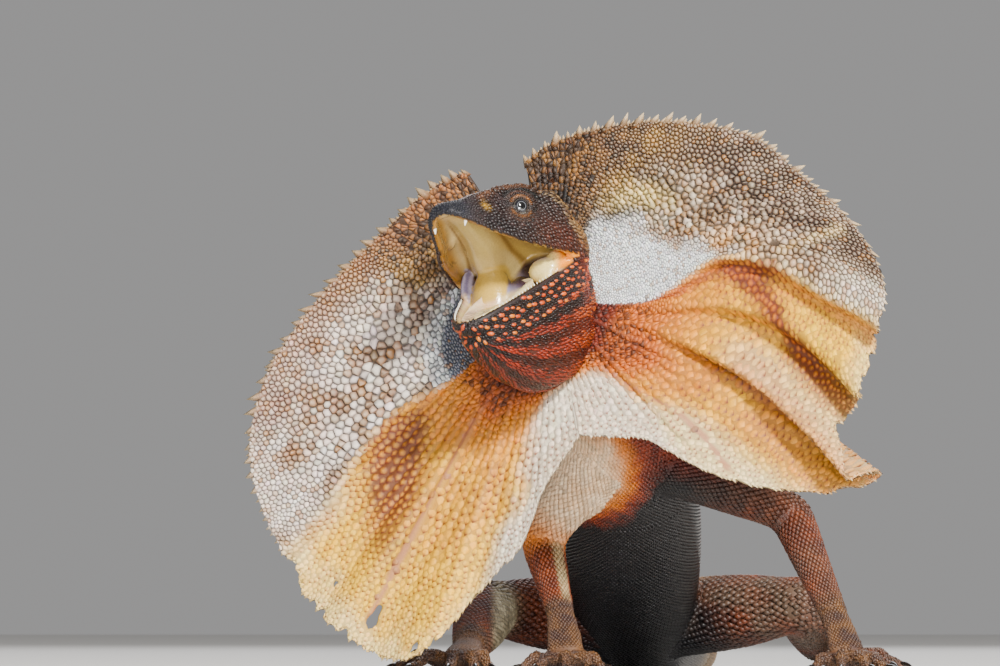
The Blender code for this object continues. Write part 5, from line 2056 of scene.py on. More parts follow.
@dataclass
class ScaleField:
    """The polygon scales of one lobe: rows that bend with their own size, each cell a domed plate."""

    lobe: Lobe
    seed: int
    wet: float = 0.12
    shoulder: float = 0.7

    def pitch(self, angle: np.ndarray, along: np.ndarray) -> np.ndarray:
        """How far scales are apart round the lobe.

        Args:
            angle: Where points are round the lobe, in degrees.
            along: Where they are from root to rim, 0 to 1.

        Returns:
            A length for each place.
        """
        right = self.lobe.side < 0
        big = 0.0031 if right else 0.0028
        size = 0.00125 + (big - 0.00125) * bump(along, 0.52, 0.36) * step(35, 90, angle)
        size = np.maximum(size, 0.00165 * step(0.55, 0.9, along) * step(50, 95, angle))
        size = np.maximum(size, 0.0021 * step(135, 170, angle) * step(0.15, 0.4, along))
        rib = angle - self.lobe.main_rib(along)
        size = size - step(-9, 9, rib) * 0.24 * (size - 0.0012)
        reach = along if right else along - 0.005 * np.maximum(angle - 90, 0) - 0.1
        fine = step(0.33, 0.22, reach)
        size = size + (0.00085 - size) * fine * step(40, 70, angle) * step(7, -3, rib)
        return size + (0.001 - size) * self.needled(angle, along)

    def needled(self, angle: np.ndarray, along: np.ndarray) -> np.ndarray:
        """Where scales are long needles: by the head, and in the red root below the main rib.

        Args:
            angle: Where points are round the lobe, in degrees.
            along: Where they are from root to rim, 0 to 1.

        Returns:
            A share for each place.
        """
        ends = (44, 66) if self.lobe.side < 0 else (30, 56)
        root = step(-4, 4, angle - self.lobe.main_rib(along)) * step(0.34, 0.2, along)
        return np.maximum(1 - step(*ends, angle), root)

    def stretch(self, angle: np.ndarray, along: np.ndarray) -> np.ndarray:
        """How much longer than wide scales are."""
        return 1.05 + 2.0 * self.needled(angle, along) + (0.08 if self.lobe.side < 0 else 0.0)

    def first_centres(self, draw: np.random.Generator) -> np.ndarray:
        """Unrolled places in rows bent by the scales' own size, with a margin beyond the lobe.

        Args:
            draw: The source of random numbers.

        Returns:
            The places.
        """
        angles = np.linspace(self.lobe.first - 6, 186, 400)
        shares = np.linspace(-0.15, 1.12, 260)
        a, s = np.meshgrid(angles, shares, indexing="ij")
        folded, inside = self.lobe.held(a), np.clip(s, 0, 1)
        radius = self.lobe.radius_at(folded, s)
        pitch = self.pitch(folded, inside)
        deep = pitch * self.stretch(folded, inside)
        rows = np.cumsum(np.gradient(radius, axis=1) / (0.87 * deep), axis=1)
        rows -= rows[:, :1]
        found = []
        turn = np.radians(angles)
        for k in range(1, int(rows[:, -1].max())):
            at = np.array([np.interp(k, rows[i], radius[i], right=np.nan) for i in range(len(angles))])
            at_pitch = np.array([np.interp(k, rows[i], pitch[i]) for i in range(len(angles))])
            good = ~np.isnan(at)
            if good.sum() < 3:
                continue
            x, y = at * np.sin(turn), at * np.cos(turn)
            gaps = np.hypot(np.diff(x), np.diff(y)) / ((at_pitch[1:] + at_pitch[:-1]) / 2)
            gaps = np.where(np.isnan(gaps), 0, gaps)
            count = np.concatenate([[0], np.cumsum(gaps)])
            wanted = np.arange(0.5 * (k % 2), count[-1], 1.0)
            wanted = wanted + draw.uniform(-0.3, 0.3, len(wanted))
            at_angle = np.interp(wanted, count, turn)
            at_radius = np.interp(wanted, count, np.where(good, at, -1))
            low = np.interp(wanted, count, np.where(good, 1.0, 0.0))
            keep = low > 0.99
            spread = np.where(good, at_pitch, 0.001) * self.stretch(folded[:, 0], 0.3)
            spread = np.interp(wanted, count, spread)
            at_radius = at_radius + draw.uniform(-0.25, 0.25, len(wanted)) * spread
            found.append(polar(at_radius, at_angle)[keep])
        return np.concatenate(found)

    def centres(self) -> np.ndarray:
        """The unrolled places of the scales, thinned and then evened out except among the needles.

        Returns:
            The places.
        """
        draw = np.random.default_rng(self.seed)
        points = self.first_centres(draw)
        size, _, _ = self.sizes(points)
        spaced = np.concatenate([points, np.zeros((len(points), 1))], axis=1)
        points = points[thinned(spaced, size * 0.62, draw)]
        for _ in range(4):
            points, owner, corner, counts = self.voronoi(points)
            middle = np.stack([np.bincount(owner, corner[:, k], len(points)) for k in (0, 1)], axis=1)
            shift = middle / np.maximum(counts, 1)[:, None] - points
            size, _, needled = self.sizes(points)
            calm = np.linalg.norm(shift, axis=1) < 0.6 * size
            points = points + shift * (calm * (1 - needled))[:, None]
        return points

    def sizes(self, points: np.ndarray) -> tuple:
        """The pitch, the slimness and the share of needles at unrolled points.

        Args:
            points: Unrolled points.

        Returns:
            The three of them, each with a value for each point.
        """
        angle, along = self.lobe.unflat(points)
        angle, along = self.lobe.held(angle), np.clip(along, 0, 1)
        return self.pitch(angle, along), self.stretch(angle, along), self.needled(angle, along)

    @staticmethod
    def voronoi(centres: np.ndarray) -> tuple:
        """The cells about unrolled points.

        Args:
            centres: The points.

        Returns:
            The points, each cell corner's owner and place in turn round it, and each cell's corner count.
        """
        result = geometry.delaunay_2d_cdt([Vector(p) for p in centres], [], [], 0, 1e-7)
        points = np.array([tuple(v) for v in result[0]])
        triangles = np.array([tuple(f) for f in result[2] if len(f) == 3])
        a, b, c = (points[triangles[:, k]] for k in range(3))
        d = 2 * (
            a[:, 0] * (b[:, 1] - c[:, 1]) + b[:, 0] * (c[:, 1] - a[:, 1]) + c[:, 0] * (a[:, 1] - b[:, 1])
        )
        sq = [np.sum(p * p, axis=1) for p in (a, b, c)]
        x = (sq[0] * (b[:, 1] - c[:, 1]) + sq[1] * (c[:, 1] - a[:, 1]) + sq[2] * (a[:, 1] - b[:, 1])) / d
        y = (sq[0] * (c[:, 0] - b[:, 0]) + sq[1] * (a[:, 0] - c[:, 0]) + sq[2] * (b[:, 0] - a[:, 0])) / d
        middle = np.stack([x, y], axis=1)
        owner = triangles.ravel()
        corner = np.repeat(middle, 3, axis=0)
        turn = np.arctan2(corner[:, 1] - points[owner, 1], corner[:, 0] - points[owner, 0])
        order = np.lexsort((turn, owner))
        return points, owner[order], corner[order], np.bincount(owner, minlength=len(points))

    def cells(self) -> list:
        """The scales in lists by count of corners: centres, outlines and sizes.

        Returns:
            Centres, corners and pitches of each group.
        """
        points, _, corner, counts = self.voronoi(self.centres())
        starts = np.concatenate([[0], np.cumsum(counts)[:-1]])
        angle, along = self.lobe.unflat(points)
        size, long, _ = self.sizes(points)
        inside = (angle > self.lobe.first - 0.5) & (angle < 180.4) & (along > -0.05) & (along < 1.0)
        inside &= ~self.lobe.torn(angle, along) & (self.lobe.bare_rib(angle, along) < 0.5)
        groups = []
        for k in range(4, 9):
            chosen = np.nonzero((counts == k) & inside)[0]
            if not len(chosen):
                continue
            rings = corner[starts[chosen][:, None] + np.arange(k)[None]]
            reach = np.linalg.norm(rings - points[chosen][:, None], axis=2).max(axis=1)
            fit = reach < 1.5 * size[chosen] * long[chosen] ** 0.8
            groups.append((points[chosen][fit], rings[fit], size[chosen][fit]))
        return groups

    def coat(self, name: str, groups: list, front: bool) -> bpy.types.Object:
        """The domed plates on one face of the lobe, as one mesh.

        Args:
            name: The piece's name.
            groups: The scales by their count of corners.
            front: Whether this is the front face.

        Returns:
            The new object.
        """
        draw = np.random.default_rng(self.seed + (1 if front else 2))
        parts, points_before, loops_before = [], 0, 0
        for centres, rings, size in groups:
            points, colours, faces, maps = self.plates(centres, rings, size, front, draw)
            loops, starts, sizes = copied_faces(faces, *points.shape[:2])
            parts.append((
                points.reshape(-1, 3), loops + points_before, starts + loops_before, sizes,
                colours.reshape(-1, 3), maps.reshape(-1, 2),
            ))
            points_before += len(parts[-1][0])
            loops_before += len(loops)
        *shape, tints, maps = (np.concatenate(part) for part in zip(*parts))
        return raw_mesh(name, *shape, tints, self.wet, maps)

    @staticmethod
    def pointed(centres: np.ndarray, size: np.ndarray, round_it: np.ndarray) -> np.ndarray:
        """The outlines of shingles, pointed outwards, from their centres.

        Args:
            centres: Their unrolled places.
            size: Their pitch.
            round_it: Turns about each centre.

        Returns:
            The outlines.
        """
        turn = np.arctan2(centres[:, 1], centres[:, 0])[:, None] + round_it
        slim = np.where(np.cos(round_it) > 0, 1.7, 1.2)
        reach = np.abs(np.cos(round_it) / slim) ** 1.5 + np.abs(np.sin(round_it) / 1.1) ** 1.5
        reach = reach ** (-1 / 1.5)
        return np.stack([np.cos(turn), np.sin(turn)], axis=2) * (reach[None] * size[:, None] / 2)[..., None]

    def plates(
        self, centres: np.ndarray, rings: np.ndarray, size: np.ndarray, front: bool,
        draw: np.random.Generator,
    ) -> tuple:
        """Scales with one count of corners: domed plates above, shingles below, needles at the root.

        Args:
            centres: Their unrolled places.
            rings: The corners of their cells.
            size: Their pitch.
            front: Whether they lie on the front face.
            draw: The source of random numbers.

        Returns:
            Points and colours scale by scale, the faces of one scale, and OFBake places.
        """
        count, k = rings.shape[:2]
        angle, along = self.lobe.unflat(centres)
        held = self.lobe.held(angle)
        needle = self.needled(held, along)
        shingle = below_rib(self.lobe, angle, along) * (1 - needle)
        round_it = np.linspace(0, 2 * math.pi, k, endpoint=False)
        outline = centres[:, None] + self.pointed(centres, size, round_it)
        clipped = self.lobe.clipped(np.where((shingle > 0.5)[:, None, None], outline, rings))
        middle = clipped.mean(axis=1)
        gap = 0.93 + 0.05 * shingle
        flatness = 0.24 - 0.19 * shingle + 0.04 * needle
        height = size * flatness * draw.uniform(0.8, 1.2, count) * (1.0 if front else 0.7)
        base_up = -0.00015 + shingle[:, None] * size[:, None] * (0.045 + 0.055 * np.cos(round_it))
        lean = unit(middle) * (size * (0.16 - 0.06 * shingle + 0.55 * needle))[:, None]
        base = middle[:, None] + (clipped - middle[:, None]) * gap[:, None, None]
        rows = [self.raised(base, base_up, front)]
        if front:
            ring = middle[:, None] + (clipped - middle[:, None]) * self.shoulder + lean[:, None] * 0.5
            rows.append(self.raised(ring, np.repeat(height[:, None], k, 1) + np.maximum(base_up, 0), front))
        peak = height * (1.25 + 0.8 * needle) + size * 0.05 * shingle
        rows.append(self.raised((middle + lean)[:, None], peak[:, None], front))
        colours = self.plate_tints(held, along, shingle, k, front, draw)
        low = k if front else 0
        faces = [(i, (i + 1) % k, k + (i + 1) % k, k + i) for i in range(low)]
        faces += [(low + i, low + (i + 1) % k, low + k) for i in range(k)]
        faces = [face[:: 1 if (self.lobe.side > 0) != front else -1] for face in faces]
        circle = np.stack([np.cos(round_it), np.sin(round_it)], axis=1) * 0.0014
        rounds = [circle, circle * self.shoulder] if front else [circle]
        patch_at = np.concatenate([*rounds, np.zeros((1, 2))])
        maps = self.chart(centres)[:, None] + patch_at[np.concatenate(faces)]
        return np.concatenate(rows, axis=1), colours, faces, maps

    def plate_tints(
        self, angle: np.ndarray, along: np.ndarray, shingle: np.ndarray, k: int, front: bool,
        draw: np.random.Generator,
    ) -> np.ndarray:
        """The colours of scales with k corners, point by point.

        Args:
            angle: Where the scales are round the lobe.
            along: How far out they are.
            shingle: How far each is a shingle.
            k: Their count of corners.
            front: Whether they lie on the front face.
            draw: The source of random numbers.

        Returns:
            Scales by points by three.
        """
        tint, edge, tip = self.colours(angle, along, draw)
        shade = np.array([0.0] * k + [0.9] * (k if front else 0) + [1.0])
        colours = shaded(edge, tint, shade)
        flat = (shingle > 0.5)[:, None]
        colours[:, -1] = np.where(flat, mix(tint * 1.05, tip, 0.22), tip)
        colours[:, 0] = np.where(flat, tip * 0.9, edge)
        for corner in (1, k - 1):
            colours[:, corner] = np.where(flat, mix(edge, tip, 0.55), edge)
        # Darker rings on the blotches, which on the left lobe are painted shade along the fold valley.
        net = (blotches(self.lobe, angle, along) * shingle)[:, None]
        colours[:, :-1] = mix(colours[:, :-1], "5a2410", np.clip(net * 1.2, 0, 0.75))
        if front:
            colours[:, k] = np.where(flat, tip, colours[:, k])
            return colours
        return colours + (duller(colours) - colours) * 0.62

    @staticmethod
    def chart(centres: np.ndarray) -> np.ndarray:
        """The OFBake place of unrolled points."""
        return np.stack([centres[:, 0] / 0.15 + 0.02, centres[:, 1] / 0.3 + 0.62], axis=1)

    def raised(self, flat: np.ndarray, lift: np.ndarray, front: bool) -> np.ndarray:
        """Unrolled points taken onto one face of the lobe, at a height over it.

        Args:
            flat: Unrolled points.
            lift: How high over the skin.
            front: Whether this is the front face.

        Returns:
            The points.
        """
        angle, along = self.lobe.unflat(flat)
        here, normal, _, _ = self.lobe.face(angle, along)
        out = self.lobe.half_thickness + lift
        return here + normal * np.where(front, out, -out)[..., None]

    def colours(self, angle: np.ndarray, along: np.ndarray, draw: np.random.Generator) -> tuple:
        """Top, edge and tip colours of scales.

        Args:
            angle: Where points are round the lobe, in degrees.
            along: Where they are from root to rim, 0 to 1.
            draw: The source of random numbers.

        Returns:
            The three of them, each with a row for each scale.
        """
        count = len(angle)
        below = below_rib(self.lobe, angle, along)
        needle = self.needled(angle, along)
        tint = frill_tint(self.lobe, angle, along)
        rough = draw.normal(0, 1, (count, 1)) * (0.16 - 0.09 * below)[:, None]
        tint = tint * np.clip(1 + rough, 0.5, 1.6) * (1 + draw.normal(0, 0.03, (count, 3)))
        odd = draw.random(count)
        brown = (odd < 0.12 * (1 - below) * step(60, 75, angle))[:, None]
        tint = np.where(brown, tint * 0.4 + tone("a8743a") * 0.45, tint)
        black = (odd < 0.42 * below * step(0.26, 0.12, along)) | (odd < 0.38 * needle * (1 - below))
        tint = np.where(black[:, None], tint * 0.28, tint * (1 + 0.3 * needle * (1 - below))[:, None])
        edge = tint * (0.22 + 0.3 * below * (1 - needle))[:, None]
        edge = mix(edge, "36200f", 0.35 * (1 - below))
        # The blotches, which on the left lobe are painted shade along the fold valley.
        spots = blotches(self.lobe, angle, along) * below
        edge = mix(edge, "2e0e08", np.clip(spots * 1.6, 0, 1))
        chance = below * (0.66 * step(0.34, 0.46, along) * step(1.08, 0.85, along) + spots)
        dark_tip = (draw.random(count) < chance)[:, None]
        tip = mix(tint * 1.1, np.tile(tone("e6dccb"), (count, 1)), 0.35 * (1 - below) * (1 - needle))
        tip = np.where(dark_tip, tint * np.array([0.22, 0.07, 0.03]), tip)
        return tint, edge, tip



RIM_TALL = Curve((
    (10, 0.003), (35, 0.0042), (60, 0.0048), (96, 0.0048), (108, 0.0034), (120, 0.0024), (150, 0.0021),
    (180, 0.0012),
))
RIM_PITCH = Curve(((10, 0.004), (50, 0.0052), (100, 0.0054), (112, 0.0034), (122, 0.002), (180, 0.0018)))


@dataclass
class Frill:
    """The frill's two lobes: thin torn skins with ribs, scales on both faces and points at the rim."""

    column_step: float = 0.6
    rows: int = 70

    def membrane(self, lobe: Lobe) -> bpy.types.Object:
        """One lobe's skin.

        Args:
            lobe: The lobe.

        Returns:
            The new object.
        """
        columns = round((180 - lobe.first) / self.column_step)
        mesh = bmesh.new()
        bmesh.ops.create_grid(mesh, x_segments=self.rows, y_segments=columns, size=1.0)
        mesh.verts.ensure_lookup_table()
        angle, along = np.meshgrid(
            np.linspace(lobe.first, 180, columns + 1), np.linspace(0, 1, self.rows + 1), indexing="ij"
        )
        places = lobe.point(angle, along * 0.996 - lobe.ragged(angle) * step(0.85, 1.0, along))
        for vert, place in zip(mesh.verts, places.reshape(-1, 3)):
            vert.co = place
        obj = finished(f"frill_skin_{lobe.name}", mesh)
        shell = obj.modifiers.new("shell", "SOLIDIFY")
        shell.thickness, shell.offset = lobe.half_thickness * 2, 0.0
        apply_all(obj)
        holes = [self.hole(lobe, i, *tear) for i, tear in enumerate(lobe.tears)]
        if holes:
            cut(obj, holes)
        self.colour(obj, lobe)
        return smooth_shaded(obj)

    @staticmethod
    def hole(lobe: Lobe, i: int, at: float, out: float, width: float, length: float) -> bpy.types.Object:
        """What is taken from a lobe's skin to leave a ragged hole or notch.

        Args:
            lobe: The lobe.
            i: Which of its tears this is.
            at: Where it is round the lobe, in degrees.
            out: Where it is from root to rim.
            width: How wide it is round the lobe.
            length: How long it is outwards.

        Returns:
            The closed tool.
        """
        here, _, round_it, outward = lobe.face(np.array([float(at)]), np.array([out]))
        matrix = Matrix.Identity(4)
        for column, axis in enumerate((round_it[0], outward[0], unit(np.cross(round_it, outward))[0])):
            for row in range(3):
                matrix[row][column] = axis[row]
        matrix.translation = here[0]
        hole = ellipsoid("hole", (0, 0, 0), (width / 2, length / 2, 0.006), matrix, 3)
        local = moved(points_of(hole.data), matrix.inverted())
        turn = np.arctan2(local[:, 1] / length, local[:, 0] / width)
        local[:, :2] *= (1 + 0.16 * np.sin(3 * turn + i) + 0.1 * np.sin(5 * turn + 2 * i))[:, None]
        place_points(hole.data, moved(local, matrix))
        outward_again(hole)
        return hole

    def colour(self, obj: bpy.types.Object, lobe: Lobe) -> None:
        """Paints a lobe's skin, darker than the scales that cover it.

        Args:
            obj: The object.
            lobe: The lobe.
        """
        local = moved(points_of(obj.data), FRILL_FRAME.inverted())
        seen = np.degrees(np.arctan2(local[:, 0] * lobe.side, local[:, 2]))
        radius = np.hypot(local[:, 0], local[:, 2])
        angle, along = seen, lobe.along_at(seen, radius)
        for _ in range(3):
            along = np.clip(along, 0, 1)
            folds = lobe.folds(lobe.fold_angle(angle, along))
            angle = seen - lobe.bow(angle) * np.sin(math.pi * along) - folds[:, 0] * fold_growth(along)
            along = lobe.along_at(angle, radius)
        along = np.clip(along, 0, 1)
        below = below_rib(lobe, angle, along)
        shade = 0.2 + 0.42 * below + 0.38 * lobe.bare_rib(angle, along, 0.7)
        tint = frill_tint(lobe, angle, along) * shade[:, None]
        # Darker skin on the blotches, which on the left lobe are painted shade along the fold valley.
        tint = mix(tint, "4e2010", 0.85 * np.clip(1.3 * blotches(lobe, angle, along) * below, 0, 1))
        behind = step(-0.3, 0.3, normals_of(obj.data)[:, 1])
        tint = mix(tint, duller(tint), 0.62 * behind)
        paint(obj.data, tint, np.full(len(angle), 0.1))

    @staticmethod
    def rim_rows(lobe: Lobe, draw: np.random.Generator) -> np.ndarray:
        """Where the rim's pointed scales stand and how tall they are, with small ones between those above.

        Args:
            lobe: The lobe.
            draw: The source of random numbers.

        Returns:
            An angle and a height for each.
        """
        rows, angle = [], lobe.first + 0.6
        while angle < 179.5:
            reach = np.linalg.norm(lobe.point(angle + 0.5, 1.0) - lobe.point(angle - 0.5, 1.0))
            tall, pitch = float(RIM_TALL(angle)), float(RIM_PITCH(angle))
            rows.append((angle, tall * draw.uniform(0.7, 1.2)))
            if angle < 116:
                for share in (0.36, 0.66):
                    rows.append((angle + pitch * share / reach, tall * draw.uniform(0.35, 0.6)))
            angle += pitch / reach * draw.uniform(0.85, 1.15)
        return np.array(rows)

    def rim_points(self, lobe: Lobe, seed: int) -> bpy.types.Object:
        """The pointed scales along the rim, tall and sparse above and fine below.

        Args:
            lobe: The lobe.
            seed: What makes the draw its own.

        Returns:
            The new object.
        """
        draw = np.random.default_rng(seed)
        at, tall = self.rim_rows(lobe, draw).T
        keep = ~lobe.torn(at, np.full(len(at), 0.985))
        at, tall = at[keep], tall[keep]
        here, normal, round_it, out = lobe.face(at, 0.988 - lobe.ragged(at))
        here = here + normal * 0.0001
        levels = ((0.5, 0.2, -0.3), (0.34, 0.15, 0.36))
        corners = ((1, 0), (0, 1), (-1, 0), (0, -1))
        unit_points = [(x * w, y * d, z) for w, d, z in levels for x, y in corners]
        unit_points = np.array([*unit_points, (0.02, 0, 1.0)])
        faces = [(i, (i + 1) % 4, (i + 1) % 4 + 4, i + 4) for i in range(4)]
        faces += [(i + 4, (i + 1) % 4 + 4, 8) for i in range(4)]
        faces.append((3, 2, 1, 0))
        width = np.clip(tall * 1.05, 0.0014, 0.0044)
        local = unit_points[None] * np.stack([width, width, tall], axis=1)[:, None]
        lift = unit(out + draw.normal(0, 0.1, (len(at), 3)))
        points = here[:, None] + round_it[:, None] * local[..., 0:1] + normal[:, None] * local[..., 1:2]
        points += lift[:, None] * local[..., 2:3]
        base = frill_tint(lobe, at, np.full(len(at), 0.97))
        base = np.where((at < 112)[:, None], mix(base, "5e381e", np.full(len(at), 0.7)), base * 0.9)
        top = np.tile(tone("ddc9a8"), (len(at), 1))
        colours = shaded(base, top, np.array([0.0] * 4 + [0.3] * 4 + [1.0]))
        chart = ScaleField.chart(lobe.flat(at, np.full(len(at), 0.98)))
        obj = raw_mesh(
            f"frill_points_{lobe.name}", points.reshape(-1, 3), *copied_faces(faces, *points.shape[:2]),
            colours.reshape(-1, 3), 0.15, charted_copies(chart, unit_points, faces),
        )
        outward_again(obj)
        return obj

    def build(self) -> list:
        """Both lobes, each with its skin, its scales before and behind, and its rim.

        Returns:
            Each lobe with its skin and its scales.
        """
        made = []
        for i, lobe in enumerate(LOBES):
            skin = self.membrane(lobe)
            scales = ScaleField(lobe, SEED + 10 * i)
            groups = scales.cells()
            faces = [
                scales.coat(f"frill_scales_{name}_{lobe.name}", groups, name == "front")
                for name in ("front", "back")
            ]
            made.append((lobe, skin, (*faces, self.rim_points(lobe, SEED + 50 + i))))
        return made


def outward_again(obj: bpy.types.Object) -> None:
    """Turns an object's faces outwards.

    Args:
        obj: The object.
    """
    mesh = bmesh.new()
    mesh.from_mesh(obj.data)
    bmesh.ops.recalc_face_normals(mesh, faces=mesh.faces)
    mesh.to_mesh(obj.data)
    mesh.free()


# ----- The coat of the body and head.


@dataclass(frozen=True)
class Rows:
    """How one length of the body is scaled in rows: from where to where, how finely and in which colours."""

    loft: Loft
    start: float
    end: float
    pitch: Curve
    slim: float
    height: float
    tint: Callable
    wet: float
    seed: int

    def places(self) -> tuple:
        """A quincunx of places over the loft.

        Returns:
            Places, directions along the loft, spacings, lengths along it and turns about it.
        """
        places, along, spacing, runs, turns = [], [], [], [], []
        run, row = self.start, 0
        ring_angles = np.linspace(0, 2 * math.pi, 97)
        while run < self.end:
            p = float(self.pitch(run))
            t = float(self.loft.at_length(run))
            ring = self.loft.surface(np.full(97, t), ring_angles)
            way = np.concatenate([[0], np.cumsum(np.linalg.norm(np.diff(ring, axis=0), axis=1))])
            count = max(6, round(way[-1] / p))
            at = (np.arange(count) + 0.5 * (row % 2)) / count * way[-1]
            turn = np.interp(at, way, ring_angles)
            ahead = turned_by(self.loft.frames(np.array([t]))[3], self.loft.matrix)
            places.append(self.loft.surface(np.full(count, t), turn))
            along.append(np.tile(ahead, (count, 1)))
            spacing.append(np.full(count, way[-1] / count))
            runs.append(np.full(count, run))
            turns.append(turn)
            run += p * self.slim * 0.5
            row += 1
        return tuple(np.concatenate(part) for part in (places, along, spacing, runs, turns))


@dataclass
class Coat:
    """Lays overlapping scales on the skin of the trunk, tail and limbs, in rows and in the gaps of rows."""

    skin: bpy.types.Object
    tree: BVHTree = field(init=False)
    taken: list = field(init=False, default_factory=list)

    def __post_init__(self) -> None:
        """Makes the skin searchable."""
        self.tree = BVHTree.FromPolygons(
            points_of(self.skin.data).tolist(), [tuple(p.vertices) for p in self.skin.data.polygons]
        )

    def landed(self, places: np.ndarray, reach: float) -> tuple:
        """The nearest skin to places, its normals there, and whether it is within reach.

        Args:
            places: The points.
            reach: How far off the skin may be.

        Returns:
            The three of them, each with a row for each place.
        """
        on, normals, near = np.zeros_like(places), np.zeros_like(places), np.zeros(len(places), bool)
        for i, place in enumerate(places.tolist()):
            hit, normal, _, _ = self.tree.find_nearest(place, reach)
            if hit is not None:
                on[i], normals[i], near[i] = hit, normal, True
        return on, normals, near

    def free_of(self, places: np.ndarray, spacing: np.ndarray) -> np.ndarray:
        """Which places no scale has been laid on yet.

        Args:
            places: The points.
            spacing: How near another each may be.

        Returns:
            True or false for each place.
        """
        free = np.ones(len(places), bool)
        for tree in self.taken:
            for i in np.nonzero(free)[0]:
                found = tree.find(places[i])
                free[i] = found[2] > 0.62 * spacing[i]
        return free

    @staticmethod
    def chart(turn: np.ndarray, run: np.ndarray, span: float) -> np.ndarray:
        """The OFBake place at turns about a loft and lengths along a span of it."""
        return np.stack([0.03 + 0.94 * turn / (2 * math.pi), 0.03 + 0.94 * run / span], axis=1)

    @staticmethod
    def overlapping(
        on: np.ndarray, along: np.ndarray, normals: np.ndarray, sizes: tuple, colours: np.ndarray,
        chart: np.ndarray, wet: float,
    ) -> Scales:
        """Scales with dark edges, sunk a little into the skin.

        Args:
            on: Their places on the skin.
            along: Which way they point.
            normals: The skin's normals.
            sizes: Their widths, lengths and heights.
            colours: The colours of their tops.
            chart: Their OFBake places.
            wet: How glossy they are.

        Returns:
            The scales.
        """
        edge = colours * (0.26 + 0.5 * colours.mean(axis=1, keepdims=True))
        return Scales(on - normals * 0.0001, along, normals, *sizes, colours, edge, chart, wet)

    def between(
        self, limb: Limb, wanted: np.ndarray, spacing: float, tint: Callable, wet: float, seed: int
    ) -> Scales:
        """Scales where a limb's rows leave the skin bare, as at a bent knee.

        Args:
            limb: The limb.
            wanted: Which points of the skin belong to it.
            spacing: How far scales are apart.
            tint: What gives the colours at places.
            wet: How glossy the scales are.
            seed: What makes the draw its own.

        Returns:
            The scales.
        """
        draw = np.random.default_rng(SEED + seed)
        places, normals = scattered(self.skin.data, wanted, 4 / spacing**2, draw)
        bare = self.free_of(places, np.full(len(places), spacing * 1.25))
        places, normals = places[bare], normals[bare]
        kept = thinned(places, np.full(len(places), spacing * 0.78), draw)
        places, normals = places[kept], normals[kept]
        self.taken.append(tree_of(places))
        _, run, turn, t = BODY.near(limb, places)
        loft = BODY.limbs[limb]
        along = turned_by(loft.frames(t)[3], loft.matrix)
        size = spacing * draw.uniform(0.9, 1.1, len(places))
        colours = tint(places) * (1 + draw.normal(0, 0.12, (len(places), 1)))
        chart = self.chart(turn % (2 * math.pi), run, loft.length)
        sizes = (size * 1.06, size * 1.35, size * 0.3)
        return self.overlapping(places, along, normals, sizes, colours, chart, wet)

    def in_rows(self, rows: Rows, wanted: Callable) -> Scales:
        """Overlapping scales in rows on one length of the body.

        Args:
            rows: Where the rows run and how the scales look.
            wanted: Tells which places on the skin may have them.

        Returns:
            The scales.
        """
        draw = np.random.default_rng(SEED + rows.seed)
        places, along, spacing, runs, turns = rows.places()
        on, normals, near = self.landed(places, 0.003)
        near &= wanted(on)
        near[near] &= self.free_of(on[near], spacing[near])
        on, along, spacing, normals = on[near], along[near], spacing[near], normals[near]
        self.taken.append(tree_of(on))
        colours = rows.tint(on) * (1 + draw.normal(0, 0.12, (len(on), 1)))
        size = spacing * draw.uniform(0.94, 1.05, len(on))
        chart = self.chart(turns[near], runs[near] - rows.start, rows.end - rows.start)
        sizes = (size * 1.06, size * rows.slim * 1.02, size * rows.height)
        return self.overlapping(on, along, normals, sizes, colours, chart, rows.wet)


def head_chart(places: np.ndarray) -> np.ndarray:
    """The OFBake place of points of the head and jaw: turn about the head by length along it.

    Args:
        places: The points.

    Returns:
        Two numbers for each place.
    """
    h = in_head(places)
    turn = np.arctan2(h[:, 0], h[:, 2] + 0.012)
    back = np.clip((h[:, 1] + 0.01) / 0.08, 0, 1)
    return np.stack([0.5 + turn / (2 * math.pi) * 0.92, 0.06 + 0.86 * back], axis=1)


